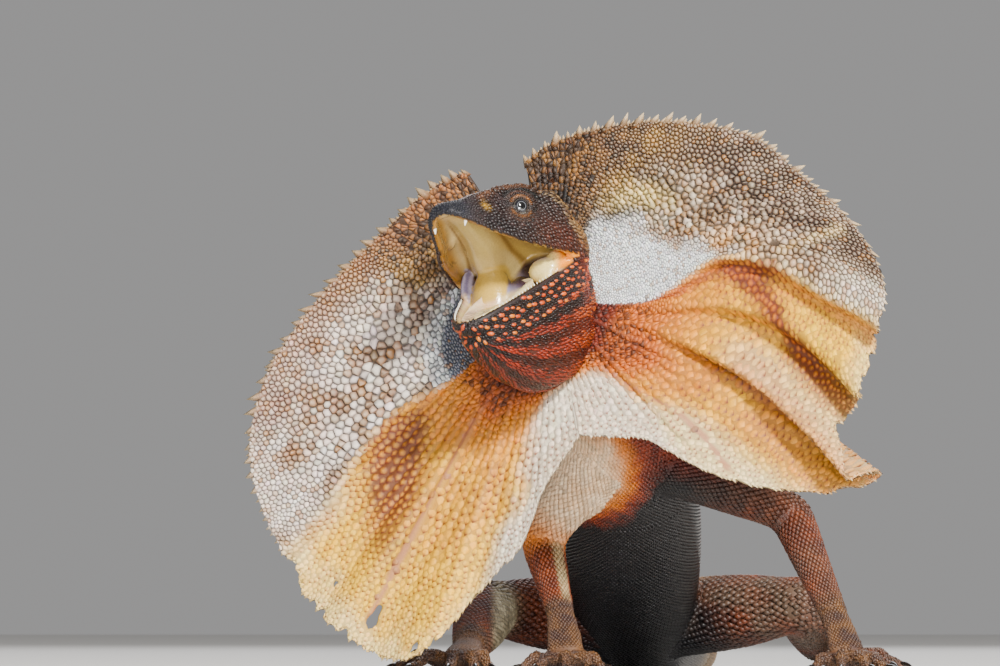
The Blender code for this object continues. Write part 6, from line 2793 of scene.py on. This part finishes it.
@dataclass
class HeadScales:
    """The head's close-set scales: granules, red ovals on the jaw and spines behind it."""

    skin: bpy.types.Object
    region: np.ndarray
    oval_spacing: float = 0.0024
    spine_spacing: float = 0.0013
    density: float = 9e6

    def __post_init__(self) -> None:
        """Draws the places that scales may take, and finds where each lies on the head and the jaw."""
        self.draw = np.random.default_rng(SEED + 3)
        places, normals = scattered(self.skin.data, self.region == 5, self.density, self.draw)
        h, j = in_head(places), in_jaw(places)
        clear = from_eye(h) > 0.005
        clear &= (head_inside(places) < 0.2) & (head_inside(places - normals * 0.0006) < 0.6)
        self.places, self.normals, self.h, self.j = places[clear], normals[clear], h[clear], j[clear]
        h, j = self.h, self.j
        self.on_jaw = step(0.001, -0.0006, j[:, 2]) * step(0.0, -0.002, h[:, 2]) > 0.5
        self.throat = step(-0.0085, -0.011, j[:, 2])
        back = turned_by(np.array([[0.0, 1.0, -0.3]]), HEAD_FRAME)
        jaw_back = turned_by(np.array([[0.0, 1.0, -0.25]]), JAW_FRAME)
        self.along = np.where(self.on_jaw[:, None], jaw_back, back)
        self.tint = head_tint(self.places)
        self.size = self.pitch()

    def pitch(self) -> np.ndarray:
        """How far granules are apart.

        Returns:
            A length for each place.
        """
        h = self.h
        size = 0.00126 - 0.00034 * step(0.016, 0.006, h[:, 1])
        size += 0.0003 * step(0.012, 0.017, h[:, 2])
        size = np.where(from_eye(h) < 0.0085, 0.00066, size)
        size = size + 0.0004 * step(0.045, 0.055, h[:, 1])
        return np.where(self.on_jaw, 0.001 + 0.00025 * step(-0.009, -0.013, self.j[:, 2]), size)

    def spaced(self, own: np.ndarray, spacing: np.ndarray) -> np.ndarray:
        """Which of some places to keep, so that none is nearer another than its spacing."""
        return own[thinned(self.places[own], np.broadcast_to(spacing, len(own)), self.draw)]

    def build(self) -> list:
        """All the head's scales, in pieces.

        Returns:
            The pieces.
        """
        h, j = self.h, self.j
        behind = (h[:, 1] > 0.05 - 0.9 * (h[:, 2] - 0.004)) & (h[:, 2] > 0.0)
        behind |= (h[:, 1] > 0.056) & (h[:, 2] > 0.0)
        red = self.on_jaw & (self.throat < 0.6) & ~behind & (j[:, 2] < -0.0006)
        ovals = self.spaced(np.nonzero(red)[0], self.oval_spacing)
        spines = self.spaced(np.nonzero(behind)[0], self.spine_spacing)
        tree = tree_of(self.places[np.concatenate([ovals, spines])])
        room = np.array([tree.find(place)[2] for place in self.places])
        open_ground = np.nonzero(room > np.where(behind, 0.0007, 0.001))[0]
        grains = self.spaced(open_ground, self.size[open_ground] * 0.86)
        on_jaw = self.on_jaw[grains]
        made = [self.ovals(ovals), self.spines(spines)]
        made.append(self.grains("head_scales", grains[~on_jaw], False))
        made.append(self.grains("jaw_grains", grains[on_jaw], True))
        return made

    def ovals(self, own: np.ndarray) -> bpy.types.Object:
        """The red scales of the jaw.

        Args:
            own: The numbers of their places.

        Returns:
            The piece.
        """
        count = len(own)
        tint = mix("ae4c28", "cc6c36", self.draw.random(count))
        tint = mix(tint, "dc9450", 0.5 * (self.draw.random(count) < 0.12))
        width = 0.0016 * self.draw.uniform(0.75, 1.15, count)
        edge = np.tile(tone("30100c"), (count, 1))
        return Scales(
            self.places[own], self.along[own], self.normals[own], width, width * 1.75, width * 0.4, tint,
            edge, head_chart(self.places[own]), 0.3,
        ).build("jaw_scales", ScaleShape.BEAD)

    def spines(self, own: np.ndarray) -> bpy.types.Object:
        """The pointed scales at the back of the head and jaw.

        Args:
            own: The numbers of their places.

        Returns:
            The piece.
        """
        count = len(own)
        pale = mix(self.tint[own] * 1.4, "cbb08a", 0.35 * self.draw.random(count))
        width = 0.0011 * self.draw.uniform(0.75, 1.2, count)
        lean = self.along[own] + self.normals[own] * 0.35 + self.draw.normal(0, 0.12, (count, 3))
        return Scales(
            self.places[own], unit(lean), self.normals[own], width, width * 2.4, width * 0.8, pale,
            pale * 0.22, head_chart(self.places[own]), 0.1,
        ).build("nape_spines", ScaleShape.KEELED)

    def grains(self, name: str, own: np.ndarray, on_jaw: bool) -> bpy.types.Object:
        """Small close-set scales.

        Args:
            name: The piece's name.
            own: The numbers of their places.
            on_jaw: Whether they are the jaw's and throat's, which are longer and streaked with crimson.

        Returns:
            The piece.
        """
        count, places, normals, j = len(own), self.places[own], self.normals[own], self.j[own]
        colour = self.tint[own] * np.clip(1 + self.draw.normal(0, 0.24, (count, 1)), 0.4, 1.8)
        if on_jaw:
            ridge = throat_fold(places, j)
            crimson = mix("9a3e1c", "bc6430", step(0.035, 0.062, j[:, 1]))
            streaks = step(-0.25, 0.4, ridge + 0.8 * self.draw.normal(0, 0.5, count)) * self.throat[own]
            colour = mix(colour, crimson, streaks * (0.5 + 0.5 * NOISE.spread(places, 0.005)))
        else:
            odd = self.draw.random(count)
            colour = np.where((odd < 0.08)[:, None], colour * 2.2, colour * 0.95)
        width = self.size[own] * self.draw.uniform(0.92, 1.08, count)
        length = width * np.where(on_jaw, 2.3, 1.15 + 0.75 * step(0.012, 0.022, self.h[own][:, 1]))
        return Scales(
            places - normals * 0.00003, self.along[own], normals, width * (0.8 if on_jaw else 1.0), length,
            width * 0.42, colour, colour * 0.22, head_chart(places), 0.25,
        ).build(name, ScaleShape.KEELED)


TRUNK_PITCH = Curve(((0, 0.0013), (0.1, 0.0015), (0.2, 0.0017), (0.26, 0.0018), (0.3, 0.0021)))
TAIL_PITCH = Curve(((0.3, 0.0022), (0.4, 0.0024), (0.55, 0.0021), (0.7, 0.0016), (0.76, 0.0011)))
DIGIT_PITCH = Curve(((0, 0.00135), (0.1, 0.00135)))


@dataclass
class BodyScales:
    """The rows of scales on the trunk, the tail and the limbs."""

    skin: bpy.types.Object
    region: np.ndarray

    def build(self) -> list:
        """All the body's scales, in pieces.

        Returns:
            The pieces.
        """
        coat = Coat(self.skin)
        region_tree = tree_of(points_of(self.skin.data))

        def off_head(places: np.ndarray) -> np.ndarray:
            """Which places aren't on the head."""
            found = np.array([self.region[region_tree.find(place)[1]] for place in places], int)
            return (found != 5) & (found != 6)

        made = []
        for foot in FEET:
            tint = partial(limb_tint, foot.limb)
            parts = []
            for k, loft in enumerate([*foot.digit_lofts(), foot.palm_loft()]):
                rows = Rows(loft, 0.0004, loft.length, DIGIT_PITCH, 1.3, 0.28, tint, 0.05, 20 + k)
                parts.append(coat.in_rows(rows, off_head))
            made.append(joined(parts).build(f"{foot.limb.end_name}_scales", ScaleShape.KEELED))
        for i, limb in enumerate(Limb):
            loft, tint = limb.loft(), partial(limb_tint, limb)
            big = 0.00225 if limb.is_arm else 0.0027
            pitch = Curve(((0, big * 0.72), (0.3 * loft.length, big), (loft.length, big * 0.62)))
            rows = Rows(loft, 0.0, loft.length, pitch, 1.35, 0.34, tint, 0.05, i)
            scales = coat.in_rows(rows, off_head)
            rest = coat.between(limb, self.region == i + 1, big * 0.8, tint, 0.05, 60 + i)
            made.append(joined([scales, rest]).build(f"{limb.name.lower()}_scales", ScaleShape.KEELED))
        trunk = trunk_loft()
        for name, start, end, pitch, slim, height, wet, seed in (
            ("chest", 0.0, 0.105, TRUNK_PITCH, 1.35, 0.26, 0.5, 40),
            ("belly", 0.105, 0.215, TRUNK_PITCH, 1.35, 0.26, 0.5, 41),
            ("rump", 0.215, 0.3, TRUNK_PITCH, 1.35, 0.26, 0.5, 42),
            ("tail", 0.3, trunk.length, TAIL_PITCH, 1.5, 0.34, 0.05, 50),
        ):
            rows = Rows(trunk, start, end, pitch, slim, height, trunk_tint, wet, seed)
            made.append(coat.in_rows(rows, off_head).build(f"{name}_scales", ScaleShape.KEELED))
        return made


def joined(parts: list) -> Scales:
    """Several sets of scales as one."""
    names = ("places", "along", "normals", "width", "length", "height", "tint", "edge", "chart")
    return Scales(*(np.concatenate([getattr(part, name) for part in parts]) for name in names), parts[0].wet)


# ----- Eyes, tongue, teeth and claws.


@dataclass
class Eyes:
    """The eyeballs with pupil, iris and pale rings."""

    pupil: float = 0.00128
    iris: float = 0.0023

    def build(self, side: int) -> bpy.types.Object:
        """One eyeball.

        Args:
            side: 1 left, -1 right.

        Returns:
            The new object.
        """
        mesh = bmesh.new()
        bmesh.ops.create_uvsphere(mesh, u_segments=64, v_segments=120, radius=EYE_RADIUS)
        obj = finished(f"eyeball_{'left' if side > 0 else 'right'}", mesh)
        points = points_of(obj.data)
        away = np.linalg.norm(points[:, :2], axis=1)
        front = points[:, 2] > 0
        turn = np.arctan2(points[:, 1], points[:, 0])
        streak = NOISE(np.stack([np.cos(turn) * 3, np.sin(turn) * 3, away * 900], axis=1), 1.0)
        colour = mix("1d1b1f", "0e0d10", streak)
        colour = layered(
            colour,
            ("0e0b0b", step(self.iris - 0.0003, self.iris, away)),
            ("4c4842", bump(away, self.iris + 0.0001, 0.0001)),
            ("8b8d92", bump(away, self.pupil + 0.00016, 0.00007)),
            ("050505", 1 - step(self.pupil - 0.00005, self.pupil + 0.00005, away)),
        )
        colour = np.where(front[:, None], colour, tone("1a1413"))
        points[:, 2] += np.where(front, 0.00025 * np.exp(-((away / 0.0026) ** 2)), 0)
        paint(obj.data, colour, np.ones(len(points)))
        place_points(obj.data, moved(points, eye_matrix(side)))
        return smooth_shaded(obj)


TONGUE = (
    (0.014, 0.0052, -0.0004, 0.003),
    (0.023, 0.0076, -0.0006, 0.0046),
    (0.034, 0.0086, -0.0024, 0.007),
    (0.045, 0.0084, -0.005, 0.009),
)


@dataclass
class Tongue:
    """The thick tongue with its groove and its small bumps."""

    groove: float = 0.0007

    def build(self) -> bpy.types.Object:
        """The tongue in the floor of the mouth.

        Returns:
            The new object.
        """
        obj = back_loft(TONGUE, JAW_FRAME, -0.0002).solid("tongue_flesh", 90, 72, (0.0042, 0.002))
        points = points_of(obj.data)
        local = in_jaw(points)
        up = turned_by(np.array([[0.0, 0.0, 1.0]]), JAW_FRAME)
        above = step(-0.0015, 0.0, local[:, 2])
        lift = 0.0006 * above - self.groove * bump(local[:, 0], 0.0004, 0.001) * above
        lift += (NOISE(points, 0.0011) - 0.5) * 0.00045 * above
        place_points(obj.data, points + up * lift[:, None])
        side = step(-0.001, 0.006, local[:, 0] * -1)
        colour = mix("ece0b4", "ecd9c0", side)
        colour = mix(colour, "dab49c", 0.5 * NOISE.spread(points, 0.0022))
        paint(obj.data, colour, np.full(len(points), 0.9))
        return smooth_shaded(obj)


@dataclass
class Teeth:
    """The two fangs of the upper jaw, or the row of small teeth at the edge of the lower one."""

    fang_length: float = 0.0036
    tooth_length: float = 0.0012

    def build(self, upper: bool) -> bpy.types.Object:
        """The teeth of the upper or the lower jaw.

        Args:
            upper: Whether these are the upper jaw's.

        Returns:
            The new object.
        """
        matrix, width = (HEAD_FRAME, MOUTH.skull_width) if upper else (JAW_FRAME, MOUTH.jaw_width)
        sign = -1.0 if upper else 1.0
        rows = [(0.0086, self.fang_length, 0.00115)]
        if not upper:
            rows = [(y, self.tooth_length, 0.00052) for y in np.arange(0.016, 0.043, 0.0015)]
        draw = random.Random(SEED)
        mesh = bmesh.new()
        for back, length, radius in rows:
            inside = 0.006 if upper else float(width(back)) - LIP * 0.75
            sunk = 0.0012 if upper else -0.0001
            for side in (1, -1):
                own = length * draw.uniform(0.9, 1.08)
                sizes = {"radius1": radius, "radius2": radius * 0.16, "depth": own + 0.0008}
                verts = bmesh.ops.create_cone(mesh, cap_ends=True, segments=8, **sizes)["verts"]
                lean = Matrix.Rotation(0.12 * side, 4, "Y") @ Matrix.Rotation(0.1 * sign, 4, "X")
                flip = Matrix.Identity(4) if sign > 0 else Matrix.Rotation(math.pi, 4, "X")
                place = Matrix.Translation((inside * side, back, sign * (own / 2 - 0.0004 + sunk)))
                bmesh.ops.transform(mesh, matrix=matrix @ place @ lean @ flip, verts=verts)
        obj = finished(f"teeth_{'upper' if upper else 'lower'}", mesh)
        points = points_of(obj.data)
        local = moved(points, matrix.inverted())
        height = step(0.0, 0.0012, local[:, 2] * sign)
        paint(obj.data, mix("d9c8a6", "fbf8ee", height), np.full(len(points), 0.8))
        return smooth_shaded(obj)


@dataclass
class Claws:
    """The hooked claws of one hand or foot."""

    foot: Foot

    def build(self) -> bpy.types.Object:
        """All five claws as one piece.

        Returns:
            The new object.
        """
        mesh = bmesh.new()
        for claw in self.foot.claws():
            mesh.from_mesh(claw.data)
            bpy.data.objects.remove(claw)
        obj = finished(f"{self.foot.limb.end_name}_claws", mesh)
        points = points_of(obj.data)
        points[:, 2] = np.maximum(points[:, 2], 0.0)
        place_points(obj.data, points)
        shade = step(0.004, 0.0, points[:, 2])
        paint(obj.data, mix("1a1512", "3a2c20", shade * 0.6), np.full(len(points), 0.7))
        return smooth_shaded(obj)


# ----- Finishes.


def linked(links: bpy.types.NodeLinks, *wires: tuple) -> None:
    """Joins outputs of nodes to inputs of others, each wire a node, its output, a node and its input."""
    for source, output, target, entry in wires:
        links.new(source.outputs[output], target.inputs[entry])


def grain_group() -> bpy.types.NodeTree:
    """The node group of fine relief and blotches that every skin finish shares.

    Returns:
        The node group.
    """
    group = bpy.data.node_groups.new("scale_grain", "ShaderNodeTree")
    for direction, kind, names in (
        ("INPUT", "NodeSocketColor", ("Tint",)),
        ("INPUT", "NodeSocketFloat", ("Wet", "Fine Size", "Variation", "Dry Roughness", "Wet Roughness")),
        ("OUTPUT", "NodeSocketColor", ("Color",)),
        ("OUTPUT", "NodeSocketFloat", ("Roughness", "Height", "Coat")),
    ):
        for name in names:
            group.interface.new_socket(name=name, in_out=direction, socket_type=kind)
    given, put_out, place, grain, spread, amount, tinted, rough, coat = (
        group.nodes.new(kind) for kind in (
            "NodeGroupInput", "NodeGroupOutput", "ShaderNodeTexCoord", "ShaderNodeTexNoise",
            "ShaderNodeMapRange", "ShaderNodeMath", "ShaderNodeVectorMath", "ShaderNodeMapRange",
            "ShaderNodeMapRange",
        )
    )
    grain.inputs["Detail"].default_value = 4.0
    spread.inputs["To Min"].default_value, spread.inputs["To Max"].default_value = -1.0, 1.0
    amount.operation, tinted.operation = "MULTIPLY_ADD", "SCALE"
    amount.inputs[2].default_value = 1.0
    coat.inputs["From Min"].default_value, coat.inputs["To Max"].default_value = 0.3, 0.8
    linked(
        group.links,
        (place, "Object", grain, "Vector"),
        (given, "Fine Size", grain, "Scale"),
        (grain, "Fac", spread, "Value"),
        (spread, "Result", amount, 0),
        (given, "Variation", amount, 1),
        (given, "Tint", tinted, 0),
        (amount, "Value", tinted, "Scale"),
        (given, "Wet", rough, "Value"),
        (given, "Dry Roughness", rough, "To Min"),
        (given, "Wet Roughness", rough, "To Max"),
        (given, "Wet", coat, "Value"),
        (tinted, "Vector", put_out, "Color"),
        (rough, "Result", put_out, "Roughness"),
        (grain, "Fac", put_out, "Height"),
        (coat, "Result", put_out, "Coat"),
    )
    return group


@dataclass(frozen=True)
class Finish:
    """One painted finish: how fine its relief is, how much its colour varies and how rough it is."""

    name: str
    fine_size: float = 2600.0
    variation: float = 0.25
    dry_roughness: float = 0.62
    wet_roughness: float = 0.16
    relief: float = 0.0001
    subsurface: float = 0.0

    def build(self, group: bpy.types.NodeTree) -> bpy.types.Material:
        """The material.

        Args:
            group: The node group of fine relief.

        Returns:
            The material.
        """
        material = bpy.data.materials.new(self.name)
        material.use_nodes = True
        nodes, links = material.node_tree.nodes, material.node_tree.links
        shader = nodes["Principled BSDF"]
        tint, wet = nodes.new("ShaderNodeAttribute"), nodes.new("ShaderNodeAttribute")
        tint.attribute_name, wet.attribute_name = "Tint", "Wet"
        grain = nodes.new("ShaderNodeGroup")
        grain.node_tree = group
        for name, value in (
            ("Fine Size", self.fine_size), ("Variation", self.variation),
            ("Dry Roughness", self.dry_roughness), ("Wet Roughness", self.wet_roughness),
        ):
            grain.inputs[name].default_value = value
        relief = nodes.new("ShaderNodeBump")
        relief.inputs["Distance"].default_value = self.relief
        linked(
            links,
            (tint, "Color", grain, "Tint"),
            (wet, "Fac", grain, "Wet"),
            (grain, "Height", relief, "Height"),
            (grain, "Color", shader, "Base Color"),
            (grain, "Roughness", shader, "Roughness"),
            (grain, "Coat", shader, "Coat Weight"),
            (relief, "Normal", shader, "Normal"),
        )
        shader.inputs["Coat Roughness"].default_value = 0.12
        if self.subsurface:
            shader.inputs["Subsurface Weight"].default_value = self.subsurface
            shader.inputs["Subsurface Radius"].default_value = (0.0016, 0.0007, 0.0004)
            shader.inputs["Subsurface Scale"].default_value = 1.0
        return material


FINISHES = (
    Finish("scaly_skin", 1500.0, 0.22, 0.6, 0.17, 0.00012),
    Finish("keratin_scales", 2400.0, 0.18, 0.5, 0.22, 0.00006),
    Finish("glossy_belly_scales", 2400.0, 0.15, 0.36, 0.22, 0.00004),
    Finish("frill_scales", 1900.0, 0.2, 0.62, 0.3, 0.00008),
    Finish("frill_membrane", 1500.0, 0.25, 0.66, 0.3, 0.00012),
    Finish("mouth_flesh", 900.0, 0.12, 0.45, 0.14, 0.00014, 0.15),
    Finish("tooth_enamel", 900.0, 0.08, 0.35, 0.12, 0.00003),
    Finish("claw_horn", 1400.0, 0.2, 0.4, 0.2, 0.00005),
    Finish("eye_gloss", 5200.0, 0.1, 0.3, 0.09, 0.0),
)


class Studio:
    """The floor, the lights and the camera."""

    def floor(self) -> bpy.types.Object:
        """A plain pale floor.

        Returns:
            The new object.
        """
        mesh = bmesh.new()
        bmesh.ops.create_grid(mesh, x_segments=2, y_segments=2, size=6.0)
        obj = finished("floor", mesh)
        material = bpy.data.materials.new("floor_pale")
        material.use_nodes = True
        shader = material.node_tree.nodes["Principled BSDF"]
        shader.inputs["Base Color"].default_value = (0.72, 0.71, 0.69, 1)
        shader.inputs["Roughness"].default_value = 0.85
        obj.data.materials.append(material)
        return obj

    def lights(self) -> None:
        """A key from the upper right, a wide fill from the left, a low light in front and one behind."""
        aim = Vector((0.0, 0.02, 0.1)) + SHIFT
        for name, place, power, size in (
            ("key", (0.62, -1.75, 1.38), 124.0, 0.26),
            ("fill", (-1.2, -1.9, 0.5), 13.0, 1.6),
            ("low", (0.3, -1.6, 0.1), 24.0, 0.4),
            ("rear", (0.4, 1.9, 1.5), 26.0, 1.4),
        ):
            data = bpy.data.lights.new(name, "AREA")
            data.energy, data.size = power, size
            data.color = (1.0, 0.96, 0.89) if name == "key" else (0.97, 0.97, 1.0)
            obj = bpy.data.objects.new(name, data)
            bpy.context.scene.collection.objects.link(obj)
            obj.location = Vector(place) + SHIFT
            obj.rotation_euler = (aim - obj.location).to_track_quat("-Z", "Y").to_euler()
        world = bpy.data.worlds.new("studio")
        world.use_nodes = True
        background = world.node_tree.nodes["Background"]
        background.inputs["Color"].default_value = (0.9, 0.89, 0.89, 1)
        background.inputs["Strength"].default_value = 0.36
        bpy.context.scene.world = world

    def camera(self) -> None:
        """The camera at the photograph's low angle."""
        data = bpy.data.cameras.new("camera")
        data.lens, data.sensor_width = 259.2, 36.0
        obj = bpy.data.objects.new("camera", data)
        bpy.context.scene.collection.objects.link(obj)
        obj.location = Vector((-0.0333, -2.4, 0.02)) + SHIFT
        aim = Vector((-0.0333, 0.0, 0.115)) + SHIFT
        obj.rotation_euler = (aim - obj.location).to_track_quat("-Z", "Y").to_euler()
        bpy.context.scene.camera = obj


SKIN_NODES = (
    "head", "lower_jaw", "throat", "mouth_lining", "neck", "torso",
    "tail_base", "tail_middle", "tail_rear", "tail_tip",
    *(f"{part}_{side}" for part in ("upper_arm", "forearm", "hand", "thigh", "shin", "foot")
      for side in ("left", "right")),
)


def dressed(piece: bpy.types.Object, material: bpy.types.Material, slot: str, *nodes: str) -> None:
    """Gives a piece its material and body, and hides the nodes that it stands for.

    Args:
        piece: The object.
        material: Its finish.
        slot: The material slot that it would fill; not used.
        nodes: The solids that it stands for, if any.
    """
    piece.data.materials.clear()
    piece.data.materials.append(material)
    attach(piece, "root")
    if nodes:
        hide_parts(*nodes)
    triangles = sum(len(face.vertices) - 2 for face in piece.data.polygons)
    LOG.info("%s: %d triangles", piece.name, triangles)


def main() -> None:
    """Builds the lizard piece by piece, and the studio about it."""
    logging.basicConfig(level=logging.INFO, format="%(name)s: %(message)s")
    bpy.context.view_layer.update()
    group = grain_group()
    finishes = {finish.name: finish.build(group) for finish in FINISHES}
    skin = Skin().build()
    colours, wet, region = skin_markings(points_of(skin.data))
    paint(skin.data, colours, wet)
    dressed(smooth_shaded(skin), finishes["scaly_skin"], "back_skin", *SKIN_NODES)
    for piece in HeadScales(skin, region).build():
        slot = "jaw_skin" if piece.name.startswith("jaw") else "head_skin"
        dressed(piece, finishes["keratin_scales"], slot)
    for piece in BodyScales(skin, region).build():
        on_limb = piece.name.startswith(("arm", "leg", "hand", "foot"))
        glossy = piece.name in ("chest_scales", "belly_scales")
        slot = "limb_skin" if on_limb else "belly_skin" if glossy else "back_skin"
        dressed(piece, finishes["glossy_belly_scales" if glossy else "keratin_scales"], slot)
    for lobe, membrane, parts in Frill().build():
        dressed(membrane, finishes["frill_membrane"], "frill_skin", f"frill_{lobe.name}")
        for part in parts:
            dressed(part, finishes["frill_scales"], "frill_skin")
    for side, name in ((1, "left"), (-1, "right")):
        dressed(Eyes().build(side), finishes["eye_gloss"], "eye", f"eye_{name}")
    dressed(Tongue().build(), finishes["mouth_flesh"], "mouth_flesh", "tongue")
    for upper in (True, False):
        dressed(Teeth().build(upper), finishes["tooth_enamel"], "mouth_flesh")
    for foot in FEET:
        dressed(Claws(foot).build(), finishes["claw_horn"], "limb_skin")
    studio = Studio()
    studio.floor()
    studio.lights()
    studio.camera()


if __name__ == "__main__":
    main()
